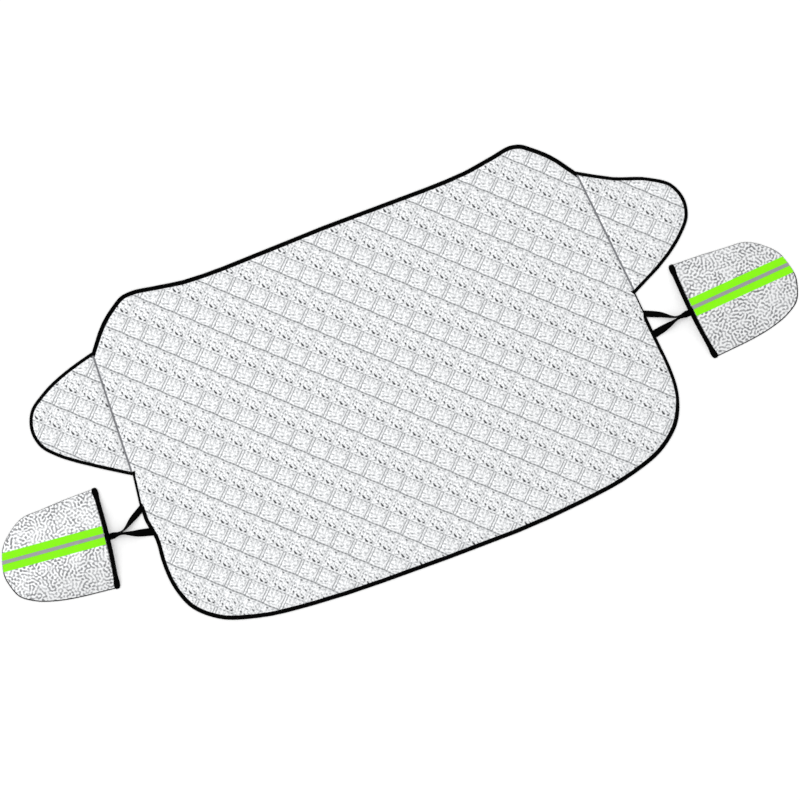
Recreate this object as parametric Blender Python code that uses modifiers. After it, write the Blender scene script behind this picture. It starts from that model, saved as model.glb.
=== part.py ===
"""A quilted windshield frost cover laid out flat, with two door flaps and two mirror pouches.

Metres, +Z up. +X runs across the car to the right, +Y towards the roof edge, and the
origin is on the underside, in the middle of the blanket.
"""

import math

import bmesh
import bpy
from mathutils import Matrix, Vector

# Clearance between pieces that touch
GAP = 0.0003

# Edge of the blanket, right half, measured to the outside of the black tape.
# Roof edge, from the middle out to the corner peak and down the shoulder to the seam.
ROOF_EDGE = [(0.0, 0.4935), (0.300, 0.4915), (0.420, 0.4955), (0.500, 0.5075), (0.568, 0.5155)]
SHOULDER = [(0.592, 0.5105), (0.620, 0.4928), (0.665, 0.4550)]
SEAM_TOP = (0.7155, 0.3900)
SEAM_FOOT = (0.7410, 0.0225)
# Side below the seam, round the lower corner and along the hood edge to the middle.
SIDE_EDGE = [
    (0.7515, -0.0900), (0.7500, -0.1600), (0.7545, -0.2100), (0.7485, -0.3000),
    (0.7225, -0.3640), (0.6610, -0.4200),
]
HOOD_EDGE = [(0.5600, -0.4570), (0.4000, -0.4800), (0.2000, -0.4905), (0.0, -0.4910)]
# Door flap, from the seam's foot round the tip to the seam's top, heights from the tip.
FLAP_TIP_Y = 0.2215
FLAP_EDGE = [
    (0.8660, -0.1250), (0.9180, -0.0840), (0.9525, -0.0430), (0.9620, 0.0030),
    (0.9435, 0.0570), (0.8905, 0.0960), (0.7960, 0.1340),
]
# The cover lies a little askew. The top of the left seam lies out and up by the first pair,
# and that of the right one in and down, and the shoulders follow. The left seam foot and
# flap lie up and the right ones down, and the left pouch lies down and the right one up.
SHOULDER_LAY = (0.0095, 0.0050)
SEAM_FOOT_LAY = 0.0125
FLAP_LAY = 0.0215
POUCH_LAY = 0.0035
POUCH_LAY_TURN = math.radians(1.0)
# How far each side point lies to the right, on both sides alike
SIDE_LAY = (-0.0030, 0.0045, 0.0040, 0.0033, 0.0015, 0.0)
# Where the roof edge and the hood edge hang down: the middle, the half length and the depth
ROOF_DIP = (-0.350, 0.250, 0.0040)
HOOD_DIP = (0.150, 0.350, 0.0038)

# Diamond quilting: the spacing of stitch crossings along each line, and the lines' turn.
# Narrow and wide rows take turns along the rising line.
QUILT_FALLING_STEP = 0.0550
QUILT_FALLING_ANGLE = math.radians(-43.8)
QUILT_NARROW_ROW = 0.0458
QUILT_WIDE_ROW = 0.0619
QUILT_RISING_ANGLE = math.radians(44.8)
QUILT_CROSSING = (-0.0130, -0.0230)
# The stitch lines stand this far over the pressed edge, and the puffs this far over them
STITCH_RISE = 0.0002
PUFF_RISE = 0.0030
PUFF_MARGIN = 0.0120

# Edge tape, folded over the pressed edge of the blanket
TAPE_WIDTH = 0.0105
TAPE_HEIGHT = 0.0040
TAPE_THICKNESS = 0.0007
TAPE_ROUNDING = 0.0010

# Grey tape over the seam between blanket and flap
SEAM_TAPE_WIDTH = 0.0050
SEAM_TAPE_THICKNESS = 0.0008
# The groove of the seam lies this much lower than the pressed edge
SEAM_SINK = 0.0002

# Mirror pouch: the middle of the line between the mouth's corners, its lean, and how far
# the mouth bows towards the blanket. Then the D outline from its upper to its lower
# corner, as distance from the mouth and distance across it.
POUCH_MOUTH = (0.8735, -0.0975)
POUCH_LEAN = math.radians(6.43)
MOUTH_HALF_WIDTH = 0.1405
MOUTH_BOW = 0.0070
POUCH_OUTLINE = [
    (0.0910, 0.1300), (0.1550, 0.1190), (0.2160, 0.1070), (0.2560, 0.0760), (0.2830, 0.0415),
    (0.2945, -0.0020), (0.2967, -0.0395), (0.2880, -0.0680), (0.2700, -0.1000),
    (0.2305, -0.1226), (0.1715, -0.1366), (0.0905, -0.1415),
]
POUCH_OPEN_HEIGHT = 0.0180
POUCH_FABRIC = 0.0012
# Shares of the outline's size at which the vault of the upper panel gets a ring
POUCH_RINGS = (0.30, 0.55, 0.76, 0.90, 1.0)
BACK_MOUTH_STEPS = 6

# Elastic hem round the mouth
ELASTIC_WIDTH = 0.0130
ELASTIC_WALL = 0.0018
ELASTIC_OVERHANG = 0.0035
ELASTIC_STEPS = 12
# The pouch's fabric starts this far behind the middle of the hem
MOUTH_SETBACK = ELASTIC_WIDTH / 2 + GAP

# Lime ribbon along the pouch, and the grey strip on its middle
RIBBON_WIDTH = 0.0520
RIBBON_THICKNESS = 0.0005
RIBBON_OFFSET = 0.0103
RIBBON_TURN = math.radians(-1.95)
STRIP_WIDTH = 0.0100
STRIP_THICKNESS = 0.0004

# Strap: one ribbon whose legs lie together at the pouch and part at the fork
STRAP_THICKNESS = 0.0012
# The legs lie on each other at the pouch, pressed to this share of the ribbon's thickness
STACKED_SHARE = 0.8
STEM_WIDTH = 0.0160
STEM_LENGTH = 0.0200
FORK = (0.8240, -0.0985)
FORK_SPREAD = 0.0030
STRAP_STEPS = 5
FORK_TWIST = math.radians(74.0)
UPPER_LEG_MIDDLE = (0.7850, -0.0740)
UPPER_LEG_END = -0.0535
UPPER_LEG_WIDTH = 0.0180
LOWER_LEG_MIDDLE = (0.7900, -0.1100)
LOWER_LEG_END = -0.1190
LOWER_LEG_WIDTH = 0.0220

# Largest turn between neighbouring points of a curved edge, and of the pouch's edge
TURN_STEP = math.radians(9.0)
POUCH_TURN_STEP = math.radians(14.4)
# How far a cutter reaches past what it cuts
REACH = 0.0300

LEFT = -1
RIGHT = 1
SIDE_NAMES = {LEFT: "left", RIGHT: "right"}

# Colour, roughness and metallic value of each finish
FOIL = ((0.76, 0.77, 0.78), 0.38, 0.35)
TAPE_BLACK = ((0.012, 0.012, 0.013), 0.80, 0.0)
SEAM_GREY = ((0.25, 0.25, 0.26), 0.70, 0.0)
LIME = ((0.26, 1.0, 0.0), 0.55, 0.0)
REFLECTIVE_GREY = ((0.30, 0.30, 0.30), 0.45, 0.2)


def clear_scene():
    for found in list(bpy.data.objects):
        bpy.data.objects.remove(found, do_unlink=True)


def new_collection(name):
    made = bpy.data.collections.new(name)
    bpy.context.scene.collection.children.link(made)
    return made


def give_material(piece, finish):
    colour, roughness, metallic = finish
    material = bpy.data.materials.new(piece.name)
    material.use_nodes = True
    shader = material.node_tree.nodes["Principled BSDF"]
    shader.inputs["Base Color"].default_value = (*colour, 1.0)
    shader.inputs["Roughness"].default_value = roughness
    shader.inputs["Metallic"].default_value = metallic
    piece.data.materials.clear()
    piece.data.materials.append(material)


def mesh_object(name, bm, collection):
    mesh = bpy.data.meshes.new(name)
    bmesh.ops.recalc_face_normals(bm, faces=bm.faces)
    bm.to_mesh(mesh)
    bm.free()
    made = bpy.data.objects.new(name, mesh)
    collection.objects.link(made)
    return made


def hide_cutter(cutter):
    cutter.hide_render = True
    cutter.display_type = "WIRE"
    return cutter


def curve_to_mesh(name, guide, collection):
    """Replaces a curve object by a mesh object with welded caps."""
    bpy.context.view_layer.update()
    graph = bpy.context.evaluated_depsgraph_get()
    mesh = bpy.data.meshes.new_from_object(guide.evaluated_get(graph))
    place = guide.matrix_world.copy()
    curve = guide.data
    bpy.data.objects.remove(guide)
    bpy.data.curves.remove(curve)
    made = bpy.data.objects.new(name, mesh)
    made.matrix_world = place
    collection.objects.link(made)
    bm = bmesh.new()
    bm.from_mesh(mesh)
    bmesh.ops.remove_doubles(bm, verts=bm.verts, dist=0.00001)
    bmesh.ops.recalc_face_normals(bm, faces=bm.faces)
    bm.to_mesh(mesh)
    bm.free()
    return made


def poly_spline(curve, points, cyclic):
    spline = curve.splines.new("POLY")
    spline.points.add(len(points) - 1)
    for target, point in zip(spline.points, points):
        target.co = (*point, *([0.0] * (3 - len(point))), 1.0)
    spline.use_cyclic_u = cyclic


def plate(name, outline, low, high, collection):
    """A flat piece with this outline, between two heights."""
    curve = bpy.data.curves.new(name, "CURVE")
    curve.dimensions = "2D"
    curve.fill_mode = "BOTH"
    curve.extrude = (high - low) / 2
    poly_spline(curve, outline, cyclic=True)
    guide = bpy.data.objects.new(name, curve)
    guide.location.z = (high + low) / 2
    collection.objects.link(guide)
    return curve_to_mesh(name, guide, collection)


def sweep(name, path, profile, collection):
    """A profile, as (distance to the left of the path, height), carried along the path."""
    section = bpy.data.curves.new(name + "_section", "CURVE")
    section.dimensions = "2D"
    poly_spline(section, [(-across, up) for across, up in profile], cyclic=True)
    section_object = bpy.data.objects.new(name + "_section", section)
    curve = bpy.data.curves.new(name, "CURVE")
    curve.dimensions = "3D"
    curve.twist_mode = "Z_UP"
    curve.bevel_mode = "OBJECT"
    curve.bevel_object = section_object
    curve.use_fill_caps = True
    poly_spline(curve, path, cyclic=False)
    guide = bpy.data.objects.new(name, curve)
    collection.objects.link(guide)
    collection.objects.link(section_object)
    made = curve_to_mesh(name, guide, collection)
    bpy.data.objects.remove(section_object)
    bpy.data.curves.remove(section)
    return made


def boolean(piece, cutter, operation="DIFFERENCE"):
    modifier = piece.modifiers.new(cutter.name, "BOOLEAN")
    modifier.operation = operation
    modifier.solver = "EXACT"
    modifier.object = cutter
    return piece


def smooth_through(points, turn_step=TURN_STEP, fewest=1):
    """A smooth line through the points, with more points where it turns more."""
    points = [Vector(point) for point in points]
    spans = [(b - a).length for a, b in zip(points, points[1:])]
    slopes = [(points[1] - points[0]) / spans[0]]
    for i in range(1, len(points) - 1):
        before = (points[i] - points[i - 1]) / spans[i - 1]
        after = (points[i + 1] - points[i]) / spans[i]
        share = spans[i - 1] / (spans[i - 1] + spans[i])
        slopes.append(before.lerp(after, share))
    slopes.append((points[-1] - points[-2]) / spans[-1])
    line = [points[0]]
    for i, span in enumerate(spans):
        start, end = points[i], points[i + 1]
        rise, fall = slopes[i] * span, slopes[i + 1] * span
        turn = rise.angle(end - start) + fall.angle(end - start)
        steps = max(fewest, math.ceil(turn / turn_step))
        for k in range(1, steps + 1):
            t = k / steps
            line.append(
                start * (2 * t**3 - 3 * t**2 + 1)
                + rise * (t**3 - 2 * t**2 + t)
                + end * (3 * t**2 - 2 * t**3)
                + fall * (t**3 - t**2)
            )
    return line


def extended(path, start, end):
    """The path made longer in its own direction at each end."""
    first = path[0] + (path[0] - path[1]).normalized() * start
    last = path[-1] + (path[-1] - path[-2]).normalized() * end
    return [first, *path[1:-1], last]


def seam_top(side):
    return Vector((side * (SEAM_TOP[0] - side * SHOULDER_LAY[0]), SEAM_TOP[1] - side * SHOULDER_LAY[1]))


def seam_foot(side):
    return Vector((side * SEAM_FOOT[0], SEAM_FOOT[1] - side * SEAM_FOOT_LAY))


def shoulder_line(side):
    """The shoulder's points, moved more towards the seam, as the cover lies."""
    line = []
    for k, (x, y) in enumerate(SHOULDER, start=1):
        share = k / (len(SHOULDER) + 1)
        inward, lower = side * share * SHOULDER_LAY[0], side * share * SHOULDER_LAY[1]
        line.append(Vector((side * (x - inward), y - lower)))
    return line + [seam_top(side)]


def hang_down(point, dip):
    """The point, lower where its edge hangs down."""
    middle, half_length, depth = dip
    away = min(1.0, abs(point.x - middle) / half_length)
    return Vector((point.x, point.y - depth * math.cos(away * math.pi / 2)))


def roof_path():
    """The blanket's upper edge, from the right seam to the left one."""
    right_roof = [hang_down(Vector(point), ROOF_DIP) for point in ROOF_EDGE]
    left_roof = [hang_down(Vector((-x, y)), ROOF_DIP) for x, y in ROOF_EDGE[1:]]
    right_half = list(reversed(right_roof + shoulder_line(RIGHT)))
    return smooth_through(right_half + left_roof + shoulder_line(LEFT))


def hood_path():
    """The blanket's sides and lower edge, from the left seam to the right one."""
    halves = {}
    for side in (LEFT, RIGHT):
        halves[side] = [Vector((side * x + lay, y)) for (x, y), lay in zip(SIDE_EDGE, SIDE_LAY)]
        halves[side] += [hang_down(Vector((side * x, y)), HOOD_DIP) for x, y in HOOD_EDGE]
    right_half = list(reversed(halves[RIGHT][:-1]))
    return smooth_through([seam_foot(LEFT), *halves[LEFT], *right_half, seam_foot(RIGHT)])


def flap_path(side):
    """A flap's free edge, counter-clockwise as seen from above."""
    tip_y = FLAP_TIP_Y - side * FLAP_LAY
    free = [Vector((side * x, tip_y + y)) for x, y in FLAP_EDGE]
    path = smooth_through([seam_foot(side), *free, seam_top(side)])
    return path if side == RIGHT else list(reversed(path))


def tape_section():
    """The folded tape's section, open towards the blanket."""
    wall, height, width, rounding = TAPE_THICKNESS, TAPE_HEIGHT, TAPE_WIDTH, TAPE_ROUNDING
    return [
        (width, 0.0), (rounding, 0.0), (0.0, rounding), (0.0, height - rounding),
        (rounding, height), (width, height), (width, height - wall),
        (wall, height - wall), (wall, wall), (width, wall),
    ]


def rebate_section():
    """What the tape and its clearance take from the blanket's edge."""
    deep = TAPE_WIDTH + GAP
    under = TAPE_THICKNESS + GAP
    over = pressed_edge_top()
    return [
        (-REACH, -REACH), (deep, -REACH), (deep, under), (under, under),
        (under, over), (deep, over), (deep, REACH), (-REACH, REACH),
    ]


def seam_box(name, side, inner, outer, low, high, margin, collection):
    """A box along a seam, from inner to outer metres outboard of its line."""
    top, foot = seam_top(side), seam_foot(side)
    along = (top - foot).normalized()
    across = Vector((along.y, -along.x)) * side
    ends = (foot - along * margin, top + along * margin)
    corners = [
        ends[0] + across * inner, ends[0] + across * outer,
        ends[1] + across * outer, ends[1] + across * inner,
    ]
    return plate(name, corners, low, high, collection)


def pressed_edge_top():
    """Upper face of the blanket's edge, which fits between the tape's walls."""
    return TAPE_HEIGHT - TAPE_THICKNESS - GAP


def quilt_matrix():
    """Turns a grid of unit columns and real rows into diamonds between the stitch lines."""
    falling = Vector((math.cos(QUILT_FALLING_ANGLE), math.sin(QUILT_FALLING_ANGLE))) * QUILT_FALLING_STEP
    rising = Vector((math.cos(QUILT_RISING_ANGLE), math.sin(QUILT_RISING_ANGLE)))
    return Matrix((
        (falling.x, rising.x, 0.0, QUILT_CROSSING[0]),
        (falling.y, rising.y, 0.0, QUILT_CROSSING[1]),
        (0.0, 0.0, 1.0, 0.0),
        (0.0, 0.0, 0.0, 1.0),
    ))


def quilted_slab(name, outline, collection):
    """Quilted wadding, flat below and puffed up between its stitch lines, larger than the outline."""
    step = min(QUILT_FALLING_STEP, QUILT_NARROW_ROW, QUILT_WIDE_ROW)
    left = min(point.x for point in outline) - step
    right = max(point.x for point in outline) + step
    low = min(point.y for point in outline) - step
    high = max(point.y for point in outline) + step
    farthest = max(abs(left), abs(right)) + max(abs(low), abs(high))
    cells = math.ceil(farthest / step)
    bm = bmesh.new()
    bmesh.ops.create_grid(bm, x_segments=2 * cells, y_segments=2 * cells, size=cells)
    for vertex in bm.verts:
        pairs, odd = divmod(round(vertex.co.y), 2)
        vertex.co.y = pairs * (QUILT_NARROW_ROW + QUILT_WIDE_ROW) + odd * QUILT_NARROW_ROW
    bmesh.ops.transform(bm, matrix=quilt_matrix(), verts=bm.verts)
    outside = []
    for face in bm.faces:
        centre = face.calc_center_median()
        if not (left < centre.x < right and low < centre.y < high):
            outside.append(face)
    bmesh.ops.delete(bm, geom=outside, context="FACES")
    bmesh.ops.translate(bm, vec=(0.0, 0.0, pressed_edge_top() + STITCH_RISE), verts=bm.verts)
    puffs = list(bm.faces)
    bmesh.ops.inset_individual(bm, faces=puffs, thickness=PUFF_MARGIN, depth=PUFF_RISE)
    rim = [edge for edge in bm.edges if edge.is_boundary]
    walls = bmesh.ops.extrude_edge_only(bm, edges=rim)["geom"]
    foot = [item for item in walls if isinstance(item, bmesh.types.BMVert)]
    for vertex in foot:
        vertex.co.z = 0.0
    base = [edge for edge in bm.edges if edge.is_boundary]
    bmesh.ops.contextual_create(bm, geom=base)
    return mesh_object(name, bm, collection)


def quilted_piece(name, outline, rebates, parts, cutters):
    piece = quilted_slab(name, outline, parts)
    pattern = hide_cutter(plate(name + "_pattern", outline, -REACH, REACH, cutters))
    boolean(piece, pattern, "INTERSECT")
    for rebate in rebates:
        boolean(piece, rebate)
    give_material(piece, FOIL)
    return piece


def binding(name, path, start, end, trims, parts):
    """Black tape folded over an edge, run past a seam and cut along it where it ends there."""
    piece = sweep(name, extended(path, start, end), tape_section(), parts)
    for trim in trims:
        boolean(piece, trim)
    give_material(piece, TAPE_BLACK)
    return piece


def build_blanket(parts, cutters):
    roof, hood = roof_path(), hood_path()
    flaps = {side: flap_path(side) for side in (LEFT, RIGHT)}
    half_gap = GAP / 2
    past_seam = 3 * TAPE_WIDTH

    roof_rebate = sweep("roof_rebate", extended(roof, past_seam, past_seam), rebate_section(), cutters)
    past_foot = TAPE_WIDTH + GAP
    hood_rebate = sweep("hood_rebate", extended(hood, past_foot, past_foot), rebate_section(), cutters)
    hide_cutter(roof_rebate)
    hide_cutter(hood_rebate)
    flap_rebates, seam_rebates, panel_sides, flap_sides, over_feet = {}, {}, {}, {}, {}
    seam_floor = pressed_edge_top() - SEAM_SINK
    reach = SEAM_TAPE_WIDTH / 2 + GAP
    for side, word in SIDE_NAMES.items():
        path = extended(flaps[side], past_seam, past_seam)
        flap_rebates[side] = hide_cutter(sweep(word + "_flap_rebate", path, rebate_section(), cutters))
        seam_rebates[side] = hide_cutter(
            seam_box(word + "_seam_rebate", side, -reach, reach, seam_floor, REACH, REACH, cutters)
        )
        panel_sides[side] = hide_cutter(
            seam_box(word + "_panel_side", side, -4 * REACH, half_gap, -REACH, REACH, 2 * REACH, cutters)
        )
        flap_sides[side] = hide_cutter(
            seam_box(word + "_flap_side", side, -half_gap, 4 * REACH, -REACH, REACH, 2 * REACH, cutters)
        )
        over_feet[side] = hide_cutter(
            seam_box(word + "_over_foot", side, -half_gap, 4 * REACH, -REACH, REACH, 0.0, cutters)
        )

    inboard = Vector((half_gap, 0.0))
    panel_outline = [point.copy() for point in roof + hood]
    for point in (panel_outline[0], panel_outline[-1]):
        point -= inboard
    for point in (panel_outline[len(roof) - 1], panel_outline[len(roof)]):
        point += inboard
    panel_rebates = [seam_rebates[LEFT], seam_rebates[RIGHT], roof_rebate, hood_rebate]
    quilted_piece("main_panel", panel_outline, panel_rebates, parts, cutters)
    binding("roof_edge_binding", roof, past_seam, past_seam, list(flap_sides.values()), parts)
    binding("hood_edge_binding", hood, TAPE_WIDTH, TAPE_WIDTH, list(over_feet.values()), parts)

    for side, word in SIDE_NAMES.items():
        flap_outline = [point.copy() for point in flaps[side]]
        for point in (flap_outline[0], flap_outline[-1]):
            point += side * inboard
        rebates = [seam_rebates[side], flap_rebates[side]]
        quilted_piece(word + "_door_flap", flap_outline, rebates, parts, cutters)
        binding(word + "_flap_binding", flaps[side], past_seam, past_seam, [panel_sides[side]], parts)
        half = SEAM_TAPE_WIDTH / 2
        low = seam_floor + GAP
        tape = seam_box(word + "_seam_tape", side, -half, half, low, low + SEAM_TAPE_THICKNESS, 0.0, parts)
        for neighbour in (roof_rebate, hood_rebate, flap_rebates[side]):
            boolean(tape, neighbour)
        give_material(tape, SEAM_GREY)


def mouth_rise(across):
    """Inner height of the open mouth over its lower panel."""
    share = min(1.0, abs(across) / MOUTH_HALF_WIDTH)
    return POUCH_OPEN_HEIGHT * (1.0 - share**2)


def pouch_outline(side):
    """The D outline from one mouth corner to the other, counter-clockwise in the pouch's frame."""
    corners = (MOUTH_SETBACK, MOUTH_HALF_WIDTH), (MOUTH_SETBACK, -MOUTH_HALF_WIDTH)
    line = smooth_through([corners[0], *POUCH_OUTLINE, corners[1]], POUCH_TURN_STEP)
    line = [Vector((point.x, side * point.y)) for point in line]
    return list(reversed(line)) if side == RIGHT else line


def bowed(distance, across):
    """A place in the pouch, moved as far as the mouth's bow moves it towards the blanket."""
    aside = min(1.0, abs(across) / MOUTH_HALF_WIDTH)
    behind = min(1.0, max(0.0, distance - MOUTH_SETBACK) / MOUTH_HALF_WIDTH)
    return distance - MOUTH_BOW * (1.0 - aside**2) * (1.0 - behind), across


def pouch_skin(name, side, lift, thickness, collection):
    """The upper panel's vaulted sheet: rings shrink from the D outline to the mouth's middle."""
    outline = pouch_outline(side)
    middle = (outline[0] + outline[-1]) / 2
    bm = bmesh.new()
    centre = bm.verts.new((*bowed(*middle), POUCH_OPEN_HEIGHT + lift))
    inner = None
    for share in POUCH_RINGS:
        height = POUCH_OPEN_HEIGHT * (1.0 - share**2) + lift
        points = [middle.lerp(point, share) for point in outline]
        ring = [bm.verts.new((*bowed(*point), height)) for point in points]
        for k in range(len(ring) - 1):
            if inner is None:
                bm.faces.new((centre, ring[k], ring[k + 1]))
            else:
                bm.faces.new((inner[k], ring[k], ring[k + 1], inner[k + 1]))
        inner = ring
    upper = bmesh.ops.extrude_face_region(bm, geom=list(bm.faces))["geom"]
    raised = [item for item in upper if isinstance(item, bmesh.types.BMVert)]
    bmesh.ops.translate(bm, vec=(0.0, 0.0, thickness), verts=raised)
    return mesh_object(name, bm, collection)


def ribbon_outline(side, width):
    """A ribbon's straight outline along the pouch, longer than the pouch."""
    along = Vector((math.cos(RIBBON_TURN), side * math.sin(RIBBON_TURN)))
    across = Vector((-along.y, along.x))
    start = Vector((MOUTH_SETBACK, side * RIBBON_OFFSET))
    pouch_length = max(length for length, across in POUCH_OUTLINE)
    near, far = start - along * REACH, start + along * (pouch_length + REACH)
    half = across * width / 2
    return [near - half, far - half, far + half, near + half]


def mouth_elastic(name, side, parts):
    """The elastic hem: a flattened ring, flat below and arched above."""
    reach = MOUTH_HALF_WIDTH + ELASTIC_OVERHANG
    floor = POUCH_FABRIC + GAP
    hole_reach = MOUTH_HALF_WIDTH - ELASTIC_WALL
    shares = [1.0 - 2.0 * k / ELASTIC_STEPS for k in range(ELASTIC_STEPS + 1)]
    outer = [(-reach * t, 0.0) for t in shares]
    outer += [(reach * t, floor + ELASTIC_WALL + POUCH_OPEN_HEIGHT * (1.0 - t**2)) for t in shares]
    hole = [(-hole_reach * t, floor) for t in shares]
    hole += [(hole_reach * t, floor + GAP + mouth_rise(hole_reach * t)) for t in shares]
    bm = bmesh.new()
    loops = []
    for line, distance in ((outer, -0.5), (outer, 0.5), (hole, 0.5), (hole, -0.5)):
        places = [bowed(distance * ELASTIC_WIDTH, across) for across, height in line]
        loops.append([bm.verts.new((*place, height)) for place, (across, height) in zip(places, line)])
    for first, second in zip(loops, loops[1:] + loops[:1]):
        for k in range(len(first)):
            bm.faces.new((first[k - 1], first[k], second[k], second[k - 1]))
    ring = mesh_object(name, bm, parts)
    give_material(ring, TAPE_BLACK)
    return ring


def put_at_mouth(piece, side):
    """Puts a piece made in the pouch's own frame in its place beside the blanket."""
    turn = side * POUCH_LEAN - POUCH_LAY_TURN
    piece.location.xy = (side * POUCH_MOUTH[0], POUCH_MOUTH[1] + side * POUCH_LAY)
    piece.rotation_euler.z = turn if side == RIGHT else math.pi + turn


def build_pouch(side, parts, cutters):
    word = SIDE_NAMES[side]
    holder = bpy.data.objects.new(word + "_mirror_pouch", None)
    put_at_mouth(holder, side)
    parts.objects.link(holder)

    outline = pouch_outline(side)
    outline += [outline[-1].lerp(outline[0], k / BACK_MOUTH_STEPS) for k in range(1, BACK_MOUTH_STEPS)]
    back = plate(word + "_pouch_back", [bowed(*point) for point in outline], 0.0, POUCH_FABRIC, parts)
    give_material(back, FOIL)
    front_low = POUCH_FABRIC + GAP
    front = pouch_skin(word + "_pouch_front", side, front_low, POUCH_FABRIC, parts)
    give_material(front, FOIL)

    ribbon_low = front_low + POUCH_FABRIC + GAP
    ribbon = pouch_skin(word + "_lime_band", side, ribbon_low, RIBBON_THICKNESS, parts)
    strip_low = ribbon_low + RIBBON_THICKNESS + GAP
    strip = pouch_skin(word + "_reflective_strip", side, strip_low, STRIP_THICKNESS, parts)
    pieces = [back, front, ribbon, strip]
    for piece, width, finish in ((ribbon, RIBBON_WIDTH, LIME), (strip, STRIP_WIDTH, REFLECTIVE_GREY)):
        cutter = plate(piece.name + "_pattern", ribbon_outline(side, width), -REACH, REACH, cutters)
        boolean(piece, hide_cutter(cutter), "INTERSECT")
        give_material(piece, finish)
        cutter.parent = holder
    pieces.append(mouth_elastic(word + "_mouth_elastic", side, parts))
    for piece in pieces:
        piece.parent = holder


def edge_across(side, y):
    """How far out the blanket's side lies at this height."""
    edge = [point for point in hood_path() if point.x * side > 0.0]
    for a, b in zip(edge, edge[1:]):
        if min(a.y, b.y) <= y <= max(a.y, b.y) and a.y != b.y:
            return abs(a.x + (b.x - a.x) * (y - a.y) / (b.y - a.y))
    return abs(SEAM_FOOT[0])


def strap_leg(name, side, middle, end_y, width, layer, spread, collection):
    """One leg, from the pouch to the blanket: flat where it is sewn, on its edge at the fork."""
    lay = side * POUCH_LAY
    start = (POUCH_MOUTH[0] + layer * STRAP_THICKNESS, POUCH_MOUTH[1] + spread / 4)
    end_x = edge_across(side, end_y + lay) - TAPE_WIDTH / 2
    stem_end = (start[0] - STEM_LENGTH, start[1])
    route = [start, stem_end, (FORK[0], FORK[1] + spread), middle, (end_x, end_y)]
    stem = smooth_through(route[:2], fewest=2)
    route = stem[:-1] + smooth_through(route[1:], fewest=STRAP_STEPS)
    lengths = [0.0]
    for a, b in zip(route, route[1:]):
        lengths.append(lengths[-1] + (b - a).length)
    fork_index = min(range(len(route)), key=lambda k: abs(route[k].x - FORK[0]))
    twisted = lengths[-1] - STEM_LENGTH
    bend = math.log(0.5) / math.log((lengths[fork_index] - STEM_LENGTH) / twisted)
    bm = bmesh.new()
    previous = None
    for k, (point, length) in enumerate(zip(route, lengths)):
        share = length / lengths[-1]
        past_stem = max(0.0, length - STEM_LENGTH) / twisted
        turn = FORK_TWIST * math.sin(math.pi * past_stem**bend) ** 2
        half = (STEM_WIDTH + (width - STEM_WIDTH) * share) / 2
        ahead = (route[min(k + 1, len(route) - 1)] - route[max(k - 1, 0)]).normalized()
        across = Vector((ahead.y, -ahead.x)) * half * math.cos(turn)
        rise = half * math.sin(turn)
        sewn = (TAPE_HEIGHT / 2 - GAP - STRAP_THICKNESS / 2) * share**2
        stacked = layer * STACKED_SHARE * STRAP_THICKNESS * (1.0 - share)
        height = GAP + STRAP_THICKNESS / 2 + rise + sewn + stacked
        edges = []
        for end in (1.0, -1.0):
            place = point + end * across
            edges.append(bm.verts.new((side * place.x, place.y + lay, height - end * rise)))
        if previous:
            bm.faces.new((previous[0], previous[1], edges[1]))
            bm.faces.new((previous[0], edges[1], edges[0]))
        previous = edges
    leg = mesh_object(name, bm, collection)
    thicken = leg.modifiers.new("ribbon", "SOLIDIFY")
    thicken.thickness = STRAP_THICKNESS
    thicken.offset = 0.0
    return leg


def build_strap(side, parts, cutters):
    word = SIDE_NAMES[side]
    strap = strap_leg(
        word + "_pouch_strap", side, UPPER_LEG_MIDDLE, UPPER_LEG_END, UPPER_LEG_WIDTH, 1, FORK_SPREAD, parts
    )
    lower = strap_leg(
        word + "_lower_leg", side, LOWER_LEG_MIDDLE, LOWER_LEG_END, LOWER_LEG_WIDTH, 0, -FORK_SPREAD, cutters
    )
    edge = [(-GAP, -REACH), (REACH, -REACH), (REACH, REACH), (-GAP, REACH)]
    blanket_side = sweep(word + "_strap_edge", hood_path(), edge, cutters)
    mouth = MOUTH_BOW + MOUTH_SETBACK
    corners = [(-mouth, -REACH), (REACH, -REACH), (REACH, REACH), (-mouth, REACH)]
    pouch_side = plate(word + "_strap_mouth", corners, -REACH, REACH, cutters)
    put_at_mouth(pouch_side, side)
    boolean(strap, hide_cutter(lower), "UNION")
    boolean(strap, hide_cutter(blanket_side))
    boolean(strap, hide_cutter(pouch_side))
    give_material(strap, TAPE_BLACK)


clear_scene()
PARTS = new_collection("windshield_frost_cover")
CUTTERS = new_collection("cutters")
build_blanket(PARTS, CUTTERS)
for SIDE in (LEFT, RIGHT):
    build_pouch(SIDE, PARTS, CUTTERS)
    build_strap(SIDE, PARTS, CUTTERS)
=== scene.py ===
"""Windshield frost cover of quilted film, laid out flat on a white floor and seen from above."""

import math

import bmesh
import bpy
import numpy as np
from mathutils import Matrix, Vector, noise


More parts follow.
